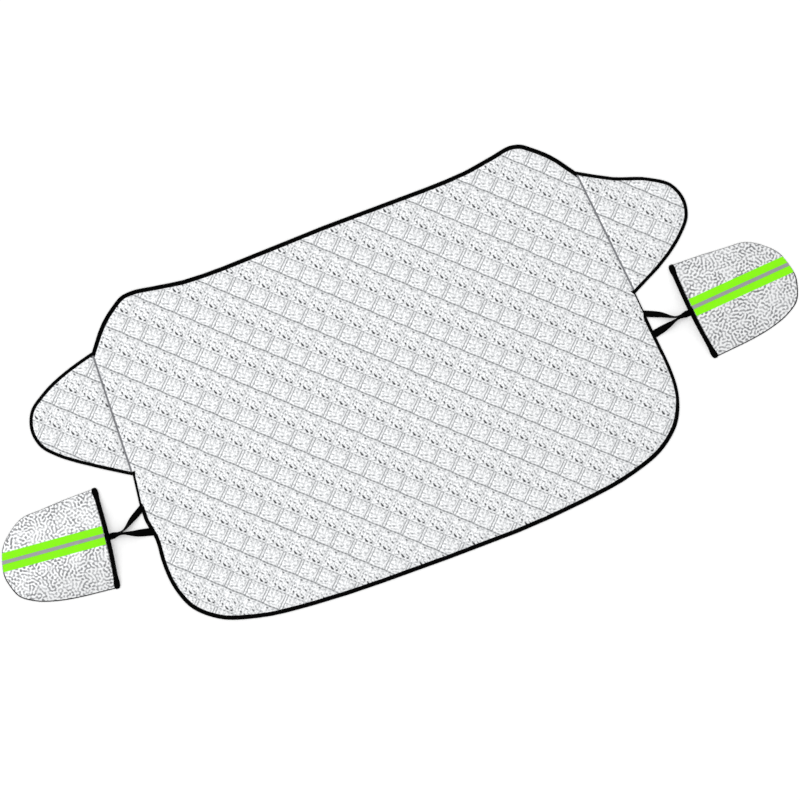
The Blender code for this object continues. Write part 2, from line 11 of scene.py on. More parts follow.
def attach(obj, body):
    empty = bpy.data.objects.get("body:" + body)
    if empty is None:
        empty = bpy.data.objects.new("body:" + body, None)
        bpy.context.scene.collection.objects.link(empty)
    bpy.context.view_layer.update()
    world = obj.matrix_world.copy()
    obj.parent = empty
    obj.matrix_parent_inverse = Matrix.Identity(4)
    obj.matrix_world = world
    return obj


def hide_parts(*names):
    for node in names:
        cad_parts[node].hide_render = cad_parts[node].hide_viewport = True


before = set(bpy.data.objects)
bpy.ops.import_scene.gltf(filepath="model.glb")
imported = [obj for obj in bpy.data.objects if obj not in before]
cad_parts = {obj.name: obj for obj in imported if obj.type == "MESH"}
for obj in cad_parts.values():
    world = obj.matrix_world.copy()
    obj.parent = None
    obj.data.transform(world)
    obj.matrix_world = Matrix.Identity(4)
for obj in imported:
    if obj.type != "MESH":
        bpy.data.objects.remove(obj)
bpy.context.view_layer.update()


# --- Quilted blanket -------------------------------------------------------------------------
# The large panel over the glass: aluminium film on thin polyester wadding, quilted in
# diamonds by welded stitch lines. The film is embossed with the same creases in every
# diamond. It lies face up, and its edge is pressed flat inside the black tape.

ROOF_EDGE = [(0.0, 0.4935), (0.300, 0.4915), (0.420, 0.4955), (0.500, 0.5075), (0.568, 0.5155)]
SHOULDER = [(0.592, 0.5105), (0.620, 0.4928), (0.665, 0.4550)]
SEAM_TOP = (0.7155, 0.3900)
SEAM_FOOT = (0.7410, 0.0225)
SIDE_EDGE = [
    (0.7515, -0.0900), (0.7500, -0.1600), (0.7545, -0.2100), (0.7485, -0.3000),
    (0.7225, -0.3640), (0.6610, -0.4200),
]
HOOD_EDGE = [(0.5600, -0.4570), (0.4000, -0.4800), (0.2000, -0.4905), (0.0, -0.4910)]
SHOULDER_LAY = (0.0095, 0.0050)
SEAM_FOOT_LAY = 0.0125
SIDE_LAY = (-0.0030, 0.0045, 0.0040, 0.0033, 0.0015, 0.0)
ROOF_DIP = (-0.350, 0.250, 0.0040)
HOOD_DIP = (0.150, 0.350, 0.0038)
GAP = 0.0003
LEFT, RIGHT = -1, 1
SIDE_NAMES = {LEFT: "left", RIGHT: "right"}

TAPE_WIDTH = 0.0105
TAPE_HEIGHT = 0.0040
TAPE_WALL = 0.0007
# The tape wavers by 0.6 mm, about twenty times in a metre
TAPE_STEP, TAPE_WAVER, WAVER_SCALE, WAVER_SHIFT = 0.0060, 0.0006, 45.0, 9.0
SEAM_TAPE_WIDTH = 0.0050

QUILT_CROSSING = Vector((-0.0130, -0.0230))
QUILT_FALLING = Vector((math.cos(math.radians(-43.8)), math.sin(math.radians(-43.8))))
QUILT_RISING = Vector((math.cos(math.radians(44.8)), math.sin(math.radians(44.8))))
QUILT_TURN = QUILT_FALLING.cross(QUILT_RISING)
FALLING_STEP = 0.0550
NARROW_ROW, WIDE_ROW = 0.0458, 0.0619
ROW_PAIR = NARROW_ROW + WIDE_ROW
FALLING_CELLS, NARROW_CELLS, WIDE_CELLS = 11, 9, 12
PAIR_CELLS = NARROW_CELLS + WIDE_CELLS
SPARE_CELLS = 3
PRESSED_TOP = TAPE_HEIGHT - TAPE_WALL - GAP
STITCH_RISE = 0.0002
STITCH_TOP = PRESSED_TOP + STITCH_RISE
PUFF_RISE = 0.0034
PUFF_MARGIN = 0.0150
# How far the tape and the seam hold the puffs down, how much of its height a puff keeps over
# a crosswise weld, and how deep the film creases, less in the narrow rows
HELD_BY_TAPE, HELD_BY_SEAM = 0.016, 0.012
OVER_CROSS = 0.35
CREASE_DEPTH, NARROW_CREASES = 0.0009, 0.45
FINE_CREASES, COARSE_CREASES, COARSE_SHARE = 62.0, 27.0, 0.6
SMOOTH_ANGLE = math.radians(50.0)
REACH = 0.0300


def smooth_through(points, turn_step=math.radians(3.0), fewest=1):
    """A smooth line through the points, with more points where it turns more."""
    points = [Vector(point) for point in points]
    spans = [(b - a).length for a, b in zip(points, points[1:])]
    slopes = [(points[1] - points[0]) / spans[0]]
    for i in range(1, len(points) - 1):
        before = (points[i] - points[i - 1]) / spans[i - 1]
        after = (points[i + 1] - points[i]) / spans[i]
        slopes.append(before.lerp(after, spans[i - 1] / (spans[i - 1] + spans[i])))
    slopes.append((points[-1] - points[-2]) / spans[-1])
    line = [points[0]]
    for i, span in enumerate(spans):
        start, end = points[i], points[i + 1]
        rise, fall = slopes[i] * span, slopes[i + 1] * span
        steps = max(fewest, math.ceil((rise.angle(end - start) + fall.angle(end - start)) / turn_step))
        for k in range(1, steps + 1):
            t = k / steps
            line.append(
                start * (2 * t**3 - 3 * t**2 + 1) + rise * (t**3 - 2 * t**2 + t)
                + end * (3 * t**2 - 2 * t**3) + fall * (t**3 - t**2)
            )
    return line


def seam_top(side):
    return Vector((side * (SEAM_TOP[0] - side * SHOULDER_LAY[0]), SEAM_TOP[1] - side * SHOULDER_LAY[1]))


def seam_foot(side):
    return Vector((side * SEAM_FOOT[0], SEAM_FOOT[1] - side * SEAM_FOOT_LAY))


def shoulder_line(side):
    line = []
    for k, (x, y) in enumerate(SHOULDER, start=1):
        share = k / (len(SHOULDER) + 1)
        line.append(Vector((side * (x - side * share * SHOULDER_LAY[0]), y - side * share * SHOULDER_LAY[1])))
    return line + [seam_top(side)]


def hang_down(point, dip):
    """The point, lower where its edge hangs down."""
    middle, half_length, depth = dip
    away = min(1.0, abs(point.x - middle) / half_length)
    return Vector((point.x, point.y - depth * math.cos(away * math.pi / 2)))


def roof_path():
    """The upper edge, from the right seam to the left one."""
    right_roof = [hang_down(Vector(point), ROOF_DIP) for point in ROOF_EDGE]
    left_roof = [hang_down(Vector((-x, y)), ROOF_DIP) for x, y in ROOF_EDGE[1:]]
    return smooth_through(list(reversed(right_roof + shoulder_line(RIGHT))) + left_roof + shoulder_line(LEFT))


def hood_path():
    """The sides and the lower edge, from the left seam to the right one."""
    halves = {}
    for side in (LEFT, RIGHT):
        halves[side] = [Vector((side * x + lay, y)) for (x, y), lay in zip(SIDE_EDGE, SIDE_LAY)]
        halves[side] += [hang_down(Vector((side * x, y)), HOOD_DIP) for x, y in HOOD_EDGE]
    return smooth_through([seam_foot(LEFT), *halves[LEFT], *reversed(halves[RIGHT][:-1]), seam_foot(RIGHT)])


def extended(path, length):
    """The path made longer in its own direction at each end."""
    first = path[0] + (path[0] - path[1]).normalized() * length
    last = path[-1] + (path[-1] - path[-2]).normalized() * length
    return [first, *path[1:-1], last]


def evenly(path, step):
    """The path again, with its points the same distance apart."""
    line = np.array([tuple(point) for point in path])
    lengths = np.concatenate([[0.0], np.cumsum(np.linalg.norm(np.diff(line, axis=0), axis=1))])
    marks = np.linspace(0.0, lengths[-1], max(2, math.ceil(lengths[-1] / step)) + 1)
    lanes = [np.interp(marks, lengths, line[:, k]) for k in range(line.shape[1])]
    return [Vector(point) for point in zip(*lanes)]


def piece_of(name, bm, placed=None):
    """The piece from its drawn faces, all turned to face out, and put in its place."""
    bmesh.ops.recalc_face_normals(bm, faces=bm.faces)
    if placed is not None:
        bmesh.ops.transform(bm, matrix=placed, verts=bm.verts)
    mesh = bpy.data.meshes.new(name)
    bm.to_mesh(mesh)
    bm.free()
    piece = bpy.data.objects.new(name, mesh)
    bpy.context.collection.objects.link(piece)
    return piece


def woven_mesh():
    """An empty mesh whose points keep their distance along the weave and across it."""
    bm = bmesh.new()
    return bm, bm.verts.layers.float.new("along"), bm.verts.layers.float.new("across")


def join_rows(bm, first, second, closed=False):
    """Faces between two rows of points."""
    for a in range(len(first) if closed else len(first) - 1):
        b = (a + 1) % len(first)
        bm.faces.new((first[a], first[b], second[b], second[a]))


def swept(name, path, section, ragged=0.0, width_at=None):
    """A closed section, as (distance to the left, height), carried along a flat path.

    Each point keeps its distance along the path and across the section for the weave.
    The section is drawn in or out by the share that width_at gives for each place.
    """
    bm, along, across = woven_mesh()
    rings = []
    run = 0.0
    for k, point in enumerate(path):
        ahead = (path[min(k + 1, len(path) - 1)] - path[max(k - 1, 0)]).normalized()
        left = Vector((-ahead.y, ahead.x))
        run += (point - path[k - 1]).length if k else 0.0
        drift = ragged * noise.noise(Vector((run * WAVER_SCALE, path[0].x * WAVER_SHIFT, 0.3)))
        share = width_at(point) if width_at else 1.0
        ring = []
        for offset, height in section:
            place = point + left * share * (offset + drift * max(0.0, offset / section[0][0]))
            vert = bm.verts.new((place.x, place.y, height))
            vert[along] = run
            vert[across] = offset
            ring.append(vert)
        if rings:
            join_rows(bm, rings[-1], ring, closed=True)
        rings.append(ring)
    bm.faces.new(rings[0])
    bm.faces.new(rings[-1])
    return piece_of(name, bm)


def thickened(bm, faces, thickness):
    """Raises the faces, and closes the sides down to where they were."""
    raised = bmesh.ops.extrude_face_region(bm, geom=faces)["geom"]
    verts = [item for item in raised if isinstance(item, bmesh.types.BMVert)]
    bmesh.ops.translate(bm, vec=(0.0, 0.0, thickness), verts=verts)


def flat_block(name, outline, low, high):
    """A flat block with this outline, between two heights."""
    bm = bmesh.new()
    floor = bm.faces.new([bm.verts.new((point.x, point.y, low)) for point in outline])
    thickened(bm, [floor], high - low)
    return piece_of(name, bm)


def select_only(piece):
    bpy.ops.object.select_all(action="DESELECT")
    bpy.context.view_layer.objects.active = piece
    piece.select_set(True)


def cut_with(piece, cutter, operation):
    """Applies a Boolean and removes its cutter."""
    modifier = piece.modifiers.new(cutter.name, "BOOLEAN")
    modifier.operation = operation
    modifier.solver = "EXACT"
    modifier.object = cutter
    select_only(piece)
    bpy.ops.object.modifier_apply(modifier=modifier.name)
    bpy.data.objects.remove(cutter)


def distance_to(path, places):
    """How far each place lies from a line of points."""
    nearest = np.full(len(places), np.inf)
    for a, b in zip(path, path[1:]):
        start, step = np.array(a), np.array(b - a)
        share = np.clip((places - start) @ step / (step @ step), 0.0, 1.0)
        gap = np.linalg.norm(places - start - share[:, None] * step, axis=1)
        nearest = np.minimum(nearest, gap)
    return nearest


def eased(values, width):
    """0 at 0 and 1 from the width on, rounded like a puff between two stitch lines."""
    return 1.0 - (1.0 - np.clip(values / width, 0.0, 1.0)) ** 2


def in_quilting(places, crossing):
    """How far each place lies along the columns and the rows of the quilting."""
    local = places - np.array(crossing)
    column = (local[:, 0] * QUILT_RISING.y - local[:, 1] * QUILT_RISING.x) / QUILT_TURN
    row = (local[:, 1] * QUILT_FALLING.x - local[:, 0] * QUILT_FALLING.y) / QUILT_TURN
    return column, row


def quilt_block(name, outline, crossing):
    """A flat block marked out in quilting cells, a little larger than the outline."""
    columns, rows = in_quilting(np.array([tuple(point) for point in outline]), crossing)
    columns, rows = columns / FALLING_STEP * FALLING_CELLS, rows / ROW_PAIR * PAIR_CELLS
    first_column = math.floor(min(columns)) - SPARE_CELLS
    first_row = math.floor(min(rows)) - SPARE_CELLS
    column_count = math.ceil(max(columns)) + SPARE_CELLS - first_column
    row_count = math.ceil(max(rows)) + SPARE_CELLS - first_row
    low = Vector((min(point.x for point in outline), min(point.y for point in outline)))
    high = Vector((max(point.x for point in outline), max(point.y for point in outline)))
    bm = bmesh.new()
    bmesh.ops.create_grid(bm, x_segments=column_count, y_segments=row_count, size=0.5)
    for vert in bm.verts:
        column = first_column + round((vert.co.x + 0.5) * column_count)
        pairs, row = divmod(first_row + round((vert.co.y + 0.5) * row_count), PAIR_CELLS)
        narrow = min(row, NARROW_CELLS) / NARROW_CELLS * NARROW_ROW
        wide = max(0, row - NARROW_CELLS) / WIDE_CELLS * WIDE_ROW
        place = crossing + QUILT_FALLING * (column / FALLING_CELLS * FALLING_STEP)
        place += QUILT_RISING * (pairs * ROW_PAIR + narrow + wide)
        vert.co = (place.x, place.y, STITCH_TOP)
    margin = FALLING_STEP / FALLING_CELLS
    outside = []
    for face in bm.faces:
        centre = face.calc_center_median()
        inside = low.x - margin < centre.x < high.x + margin and low.y - margin < centre.y < high.y + margin
        if not inside:
            outside.append(face)
    bmesh.ops.delete(bm, geom=outside, context="FACES")
    rim = [edge for edge in bm.edges if edge.is_boundary]
    walls = bmesh.ops.extrude_edge_only(bm, edges=rim)["geom"]
    for item in walls:
        if isinstance(item, bmesh.types.BMVert):
            item.co.z = 0.0
    bmesh.ops.contextual_create(bm, geom=[edge for edge in bm.edges if edge.is_boundary])
    return piece_of(name, bm)


# How much of the binding tape shows, as a share of its plain width: most along the roof and
# the hood, less on the flaps and down the sides (height and share), where it is turned under
FULL_TAPE, FLAP_TAPE = 1.14, 0.90
SIDES_BEGIN = 0.70
SIDE_TAPE = {
    RIGHT: (
        (-0.360, FULL_TAPE), (-0.300, 0.86), (-0.062, 0.86), (-0.050, 0.36),
        (0.008, 0.36), (0.020, 1.0), (0.300, FULL_TAPE),
    ),
    LEFT: (
        (-0.360, FULL_TAPE), (-0.300, 1.04), (-0.055, 1.04), (-0.043, 0.62),
        (0.033, 0.62), (0.045, 1.0), (0.300, FULL_TAPE),
    ),
}


def tape_share(point):
    """How much of the tape shows at this place on the blanket's edge."""
    if abs(point.x) < SIDES_BEGIN:
        return FULL_TAPE
    heights, shares = zip(*SIDE_TAPE[RIGHT if point.x > 0.0 else LEFT])
    return float(np.interp(point.y, heights, shares))


def flap_tape_share(point):
    """How much of the tape shows on a flap, the same all along."""
    return FLAP_TAPE


def tape_rebate(name, path, width_at):
    """What the folded tape takes from the edge of the wadding."""
    deep, under = TAPE_WIDTH + GAP, TAPE_WALL + GAP
    section = [
        (-REACH, -REACH), (deep, -REACH), (deep, under), (under, under),
        (under, PRESSED_TOP), (deep, PRESSED_TOP), (deep, REACH), (-REACH, REACH),
    ]
    return swept(name, path, section, width_at=width_at)


def seam_channel(name, side):
    """The groove of the grey seam tape."""
    top, foot = seam_top(side), seam_foot(side)
    along = (top - foot).normalized()
    across = Vector((along.y, -along.x)) * (SEAM_TAPE_WIDTH / 2 + GAP)
    low, high = foot - along * REACH, top + along * REACH
    return flat_block(name, [low - across, low + across, high + across, high - across], PRESSED_TOP, REACH)


def puff_up(piece, edges, seams, crossing):
    """Raises the top between the stitch lines, and creases it as the film does.

    Each point keeps where the quilting of its piece begins, for the film.
    """
    mesh = piece.data
    starts = mesh.attributes.new("crossing", "FLOAT_VECTOR", "POINT")
    starts.data.foreach_set("vector", (*crossing, 0.0) * len(mesh.vertices))
    points = np.empty(len(mesh.vertices) * 3)
    mesh.vertices.foreach_get("co", points)
    points = points.reshape(-1, 3)
    top = points[:, 2] > STITCH_TOP - STITCH_RISE / 4
    places = points[top, :2]
    edge = np.minimum.reduce([distance_to(path, places) for path in edges]) - TAPE_WIDTH - GAP
    seam = np.minimum.reduce([distance_to(path, places) for path in seams]) - SEAM_TAPE_WIDTH / 2 - GAP
    held = eased(edge, HELD_BY_TAPE) * eased(seam, HELD_BY_SEAM)
    column, row = in_quilting(places, crossing)
    from_cross = np.abs(column / FALLING_STEP % 1.0 - 0.5) * FALLING_STEP
    in_pair = row % ROW_PAIR
    from_stitch = np.minimum.reduce([in_pair, np.abs(in_pair - NARROW_ROW), ROW_PAIR - in_pair])
    puff = eased(from_stitch, PUFF_MARGIN) * (OVER_CROSS + (1.0 - OVER_CROSS) * eased(from_cross, PUFF_MARGIN))
    creases = np.array([
        noise.noise(Vector((x * FINE_CREASES, y * FINE_CREASES, 0.0)))
        + COARSE_SHARE * noise.noise(Vector((x * COARSE_CREASES, y * COARSE_CREASES, 4.0)))
        for x, y in places
    ])
    crinkled = CREASE_DEPTH * np.where(in_pair > NARROW_ROW, 1.0, NARROW_CREASES)
    points[top, 2] = STITCH_TOP + held * (PUFF_RISE * puff + crinkled * (0.25 + puff) * creases)
    mesh.vertices.foreach_set("co", points.ravel())
    mesh.update()


def smooth_finish(piece, material, nodes):
    """Smooth shading, the material, and the piece's place in the frame."""
    select_only(piece)
    bpy.ops.object.shade_smooth_by_angle(angle=SMOOTH_ANGLE)
    piece.data.materials.clear()
    piece.data.materials.append(material)
    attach(piece, "root")
    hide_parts(*nodes)


def linear(colour):
    """A linear colour from an sRGB hex value."""
    channels = [int(colour[k:k + 2], 16) / 255 for k in (1, 3, 5)]
    return (*[c / 12.92 if c <= 0.04045 else ((c + 0.055) / 1.055) ** 2.4 for c in channels], 1.0)


def add(tree, kind, inputs=(), output=0, **settings):
    """Adds a node with its settings and its inputs, given in order or by name or number."""
    made = tree.nodes.new("ShaderNode" + kind)
    for name, value in settings.items():
        setattr(made, name, value)
    for socket, given in inputs.items() if isinstance(inputs, dict) else enumerate(inputs):
        if isinstance(given, bpy.types.NodeSocket):
            tree.links.new(given, made.inputs[socket])
        else:
            made.inputs[socket].default_value = given
    return made.outputs[output]


def new_material(name):
    material = bpy.data.materials.new(name)
    material.use_nodes = True
    return material, material.node_tree, material.node_tree.nodes["Principled BSDF"]


def film_surface(tree, shader, shade, tones, smoothest, grain=None):
    """Bare film, pale and smooth, with painted shade in its creases, which are also duller and lower."""
    colours = tree.nodes.new("ShaderNodeValToRGB")
    stops = colours.color_ramp.elements
    stops[0].color, stops[1].color = linear(tones[0][1]), linear(tones[-1][1])
    for position, tone in tones[1:-1]:
        stops.new(position).color = linear(tone)
    tree.links.new(shade, colours.inputs[0])
    tree.links.new(colours.outputs[0], shader.inputs["Base Color"])
    rough = add(tree, "MapRange", (shade, 0.0, 1.0, smoothest, 0.60))
    tree.links.new(rough, shader.inputs["Roughness"])
    shader.inputs["Metallic"].default_value = 0.22
    relief = add(tree, "Math", (shade, -1.0, 1.0), operation="MULTIPLY_ADD")
    if grain is not None:
        relief = add(tree, "Math", (grain, 0.35, relief), operation="MULTIPLY_ADD")
    bump = add(tree, "Bump", {"Strength": 0.55, "Distance": 0.0009, "Height": relief})
    tree.links.new(bump, shader.inputs["Normal"])


# Aluminium film laminated on wadding, creased by embossing rollers and welded along the
# quilting. It gives a pale silver, nearly white under soft light; its thin grey creases and
# welded lines are painted shade.
# Sizes in millimetres: welded lines 4 wide, paired lines 7.4 apart, creases 5 to 14 long.
quilted_film, tree, shader = new_material("aluminium film, embossed and quilted on wadding")
place = add(tree, "TexCoord", output="Object")
sway = add(tree, "TexNoise", {"Vector": place, "Scale": 14.0, "Detail": 1.0}, output="Color")
sway = add(tree, "VectorMath", (sway, (0.5, 0.5, 0.5)), operation="SUBTRACT")
swayed = add(tree, "VectorMath", (sway, (0.0020,) * 3, place), operation="MULTIPLY_ADD")
crossing = add(tree, "Attribute", output="Vector", attribute_name="crossing")
centred = add(tree, "VectorMath", (swayed, crossing), operation="SUBTRACT")
IN_MM = 1000 / QUILT_TURN
along_column = (IN_MM * QUILT_RISING.y, -IN_MM * QUILT_RISING.x, 0.0)
along_row = (-IN_MM * QUILT_FALLING.y, IN_MM * QUILT_FALLING.x, 0.0)
column = add(tree, "VectorMath", (centred, along_column), output="Value", operation="DOT_PRODUCT")
row = add(tree, "VectorMath", (centred, along_row), output="Value", operation="DOT_PRODUCT")
PITCH, PAIR, NARROW = 1000 * FALLING_STEP, 1000 * ROW_PAIR, 1000 * NARROW_ROW
in_cell = add(tree, "CombineXYZ", (column, row))
past_cross = add(tree, "Math", (column, PITCH / 2), operation="ADD")
from_cross = add(tree, "Math", (past_cross, PITCH / 2), operation="PINGPONG")
wave = add(tree, "Math", (column, 2 * math.pi / PITCH, 2.4), operation="MULTIPLY_ADD")
wave = add(tree, "Math", (wave,), operation="SINE")
waved_row = add(tree, "Math", (wave, 0.5, row), operation="MULTIPLY_ADD")
past_strong = add(tree, "Math", (waved_row, 1.2), operation="ADD")
from_strong = add(tree, "Math", (past_strong, PAIR / 2), operation="PINGPONG")
past_middle = add(tree, "Math", (waved_row, NARROW + 0.5), operation="SUBTRACT")
from_middle = add(tree, "Math", (past_middle, PAIR / 2), operation="PINGPONG")
row_in_pair = add(tree, "Math", (row, 0.0, PAIR), operation="WRAP")
crinkled = add(tree, "MapRange", (row_in_pair, NARROW - 1.0, NARROW + 1.0, 0.0, 1.0))

# Welded stitch lines, drawn as painted shade along their valleys: a dark one every other row, a
# row of dashes 11 mm apart between them, and paired fine lines across, which fade in the crinkled rows
dash = add(tree, "Math", (column, 2 * math.pi / 11.0, -2.83), operation="MULTIPLY_ADD")
dash = add(tree, "Math", (dash,), operation="SINE")
strong_depth = add(tree, "MapRange", (dash, -1.0, 1.0, 0.38, 0.60))
strong = add(tree, "MapRange", (from_strong, 0.8, 3.6, 1.0, 0.0), interpolation_type="SMOOTHSTEP")
strong = add(tree, "Math", (strong, strong_depth), operation="MULTIPLY")
middle_depth = add(tree, "MapRange", (dash, -1.0, 1.0, 0.20, 0.52))
middle = add(tree, "MapRange", (from_middle, 0.6, 3.3, 1.0, 0.0), interpolation_type="SMOOTHSTEP")
middle = add(tree, "Math", (middle, middle_depth), operation="MULTIPLY")
beside_cross = add(tree, "Math", (from_cross, 3.7), operation="SUBTRACT")
beside_cross = add(tree, "Math", (beside_cross,), operation="ABSOLUTE")
cross = add(tree, "MapRange", (beside_cross, 0.3, 2.1, 0.52, 0.0), interpolation_type="SMOOTHSTEP")
cross_fade = add(tree, "MapRange", (crinkled, 0.0, 1.0, 1.0, 0.45))
cross = add(tree, "Math", (cross, cross_fade), operation="MULTIPLY")
lines = add(tree, "Math", (strong, middle), operation="MAXIMUM")
lines = add(tree, "Math", (lines, cross), operation="MAXIMUM")

# Fine creases all over, painted as short faint strokes of shade 9 mm apart, drifting a little
# from one diamond to the next
same = add(tree, "VectorMath", (in_cell, (PITCH, PAIR, 1.0), (0.0, 0.0, -1.0)), operation="WRAP")
drift = add(tree, "TexNoise", {"Vector": place, "Scale": 6.0, "Detail": 0.0}, output="Color")
same = add(tree, "VectorMath", (drift, (8.0, 8.0, 0.0), same), operation="MULTIPLY_ADD")
short = add(tree, "TexGabor", {"Vector": same, "Scale": 0.070, "Frequency": 1.6, "Anisotropy": 0.0})
short = add(tree, "MapRange", (short, 0.44, 0.64, 0.02, 0.25), interpolation_type="SMOOTHSTEP")
shade = add(tree, "Math", (lines, short), operation="MAXIMUM")

# The deeper creases, each a spot of painted shade, as column, row, length, width, lean in degrees and depth
HALF_CELL = Vector((PITCH / 2, PAIR / 2, 1.0))
for at_column, at_row, long, wide, lean, depth in (
    (0.015, 0.508, 12.0, 5.8, -20.0, 1.0), (0.935, 0.533, 7.5, 4.6, -35.0, 0.80),
    (0.265, 0.507, 8.0, 5.6, 10.0, 0.92), (0.292, 0.548, 7.5, 3.6, -72.0, 0.60),
    (0.160, 0.580, 10.5, 4.4, -24.0, 0.56), (0.722, 0.566, 8.0, 5.6, -42.0, 0.86),
    (0.765, 0.530, 5.0, 3.4, -60.0, 0.50), (0.735, 0.492, 7.0, 4.4, 0.0, 0.46),
    (0.255, 0.725, 10.5, 5.0, -26.0, 0.72), (0.095, 0.780, 8.0, 4.2, -40.0, 0.46),
    (0.845, 0.925, 8.0, 5.4, -15.0, 0.68), (0.290, 0.840, 9.5, 4.6, -34.0, 0.42),
    (0.425, 0.782, 8.0, 4.8, -20.0, 0.44), (0.600, 0.770, 9.5, 5.0, 80.0, 0.46),
    (0.850, 0.775, 7.0, 5.0, 0.0, 0.34), (0.695, 0.692, 8.5, 5.0, -30.0, 0.54),
    (0.925, 0.690, 13.0, 4.6, -6.0, 0.54), (0.035, 0.625, 10.0, 3.4, -80.0, 0.34),
    (0.560, 0.615, 9.0, 4.8, 85.0, 0.56), (0.545, 0.700, 7.0, 5.0, 80.0, 0.50),
    (0.120, 0.935, 13.0, 4.4, 12.0, 0.32), (0.455, 0.885, 7.0, 6.0, 0.0, 0.36),
    (0.270, 0.345, 7.0, 5.4, 0.0, 0.42), (0.740, 0.338, 7.0, 5.6, 0.0, 0.36),
    (0.970, 0.330, 6.0, 6.0, 0.0, 0.24), (0.245, 0.205, 9.0, 6.6, 0.0, 0.30),
    (0.680, 0.215, 12.0, 5.0, 8.0, 0.38), (0.915, 0.225, 14.0, 6.0, -8.0, 0.24),
    (0.985, 0.130, 9.0, 5.0, 24.0, 0.48), (0.585, 0.105, 10.0, 5.0, -80.0, 0.48),
    (0.780, 0.088, 9.0, 6.4, 10.0, 0.40), (0.570, 0.330, 12.0, 4.0, 85.0, 0.46),
):
    spot = Vector((at_column * PITCH, at_row * PAIR, 0.0))
    near = add(tree, "VectorMath", (in_cell, spot + HALF_CELL, spot - HALF_CELL), operation="WRAP")
    lie = {"Location": spot, "Rotation": (0.0, 0.0, math.radians(lean)), "Scale": (long / 2, wide / 2, 1.0)}
    near = add(tree, "Mapping", {"Vector": near, **lie}, vector_type="TEXTURE")
    near = add(tree, "VectorMath", (near,), output="Value", operation="LENGTH")
    deep = add(tree, "MapRange", (near, 0.32, 1.42, depth, 0.0), interpolation_type="SMOOTHSTEP")
    shade = add(tree, "Math", (shade, deep), operation="MAXIMUM")

tone = add(tree, "TexNoise", {"Vector": place, "Scale": 160.0, "Detail": 3.0})
tone = add(tree, "MapRange", (tone, 0.3, 0.7, -0.07, 0.09))
shade = add(tree, "Math", (shade, tone), operation="ADD", use_clamp=True)
fine = add(tree, "TexNoise", {"Vector": place, "Scale": 420.0, "Detail": 2.0})
shade_tones = ((0.0, "#FBFCFD"), (0.30, "#C2C4C6"), (0.60, "#7C7E80"), (1.0, "#232326"))
film_surface(tree, shader, shade, shade_tones, smoothest=0.36, grain=fine)

roof, hood = roof_path(), hood_path()
outline = [point.copy() for point in roof + hood]
for k, shift in ((0, -GAP / 2), (-1, -GAP / 2), (len(roof) - 1, GAP / 2), (len(roof), GAP / 2)):
    outline[k].x += shift
blanket = quilt_block("quilted_blanket", outline, QUILT_CROSSING)
cut_with(blanket, flat_block("blanket_outline", outline, -REACH, REACH), "INTERSECT")
cut_with(blanket, tape_rebate("roof_rebate", extended(roof, REACH), tape_share), "DIFFERENCE")
hood_rebate_line = evenly(extended(hood, TAPE_WIDTH + GAP), TAPE_STEP)
cut_with(blanket, tape_rebate("hood_rebate", hood_rebate_line, tape_share), "DIFFERENCE")
for side in (LEFT, RIGHT):
    cut_with(blanket, seam_channel(SIDE_NAMES[side] + "_channel", side), "DIFFERENCE")
seam_lines = [[seam_foot(side), seam_top(side)] for side in (LEFT, RIGHT)]
puff_up(blanket, [roof, hood], seam_lines, QUILT_CROSSING)
smooth_finish(blanket, quilted_film, ["main_panel"])


# --- Door flaps ------------------------------------------------------------------------------
# Two flaps of the same quilted film, sewn to the blanket's sides. They are shut in the
# front doors, so that the cover can't be pulled off the car. Each is cut from another place
# of the web, so that its quilting doesn't run on from the blanket's.

FLAP_TIP_Y = 0.2215
FLAP_LAY = 0.0215
FLAP_EDGE = [
    (0.8660, -0.1250), (0.9180, -0.0840), (0.9525, -0.0430), (0.9620, 0.0030),
    (0.9435, 0.0570), (0.8905, 0.0960), (0.7960, 0.1340),
]
FLAP_PHASE = {LEFT: (0.705, 0.400), RIGHT: (0.886, 0.413)}


def flap_path(side):
    """A flap's free edge, counter-clockwise as seen from above."""
    tip_y = FLAP_TIP_Y - side * FLAP_LAY
    free = [Vector((side * x, tip_y + y)) for x, y in FLAP_EDGE]
    path = smooth_through([seam_foot(side), *free, seam_top(side)])
    return path if side == RIGHT else list(reversed(path))


for side in (LEFT, RIGHT):
    word = SIDE_NAMES[side]
    path = flap_path(side)
    outline = [point.copy() for point in path]
    for k in (0, -1):
        outline[k].x += side * GAP / 2
    part_column, part_row = FLAP_PHASE[side]
    crossing = QUILT_CROSSING - QUILT_FALLING * (part_column * FALLING_STEP)
    crossing -= QUILT_RISING * (part_row * ROW_PAIR)
    flap = quilt_block(word + "_flap", outline, crossing)
    cut_with(flap, flat_block(word + "_flap_outline", outline, -REACH, REACH), "INTERSECT")
    cut_with(flap, tape_rebate(word + "_flap_rebate", extended(path, REACH), flap_tape_share), "DIFFERENCE")
    cut_with(flap, seam_channel(word + "_flap_channel", side), "DIFFERENCE")
    puff_up(flap, [path], seam_lines, crossing)
    smooth_finish(flap, quilted_film, [word + "_door_flap"])


# --- Binding tape ----------------------------------------------------------------------------
# Black woven polyester tape folded over the pressed edge of the blanket and the flaps, and
# sewn down with one row of black lockstitch near its inner edge.

FLAP_TAPE_STEP = 0.0050
TAPE_SECTION = [
    (0.0103, 0.0000), (0.0012, 0.0000), (0.0003, 0.0005), (0.0000, 0.0014), (0.0000, 0.0026), (0.0003, 0.0035),
    (0.0012, 0.0040), (0.0036, 0.0040), (0.0064, 0.0039), (0.0076, 0.0036), (0.0084, 0.0036), (0.0094, 0.0039),
    (0.0102, 0.0039), (0.0105, 0.0036), (0.0104, 0.0033), (0.0008, 0.0033), (0.0008, 0.0007), (0.0104, 0.0007),
]


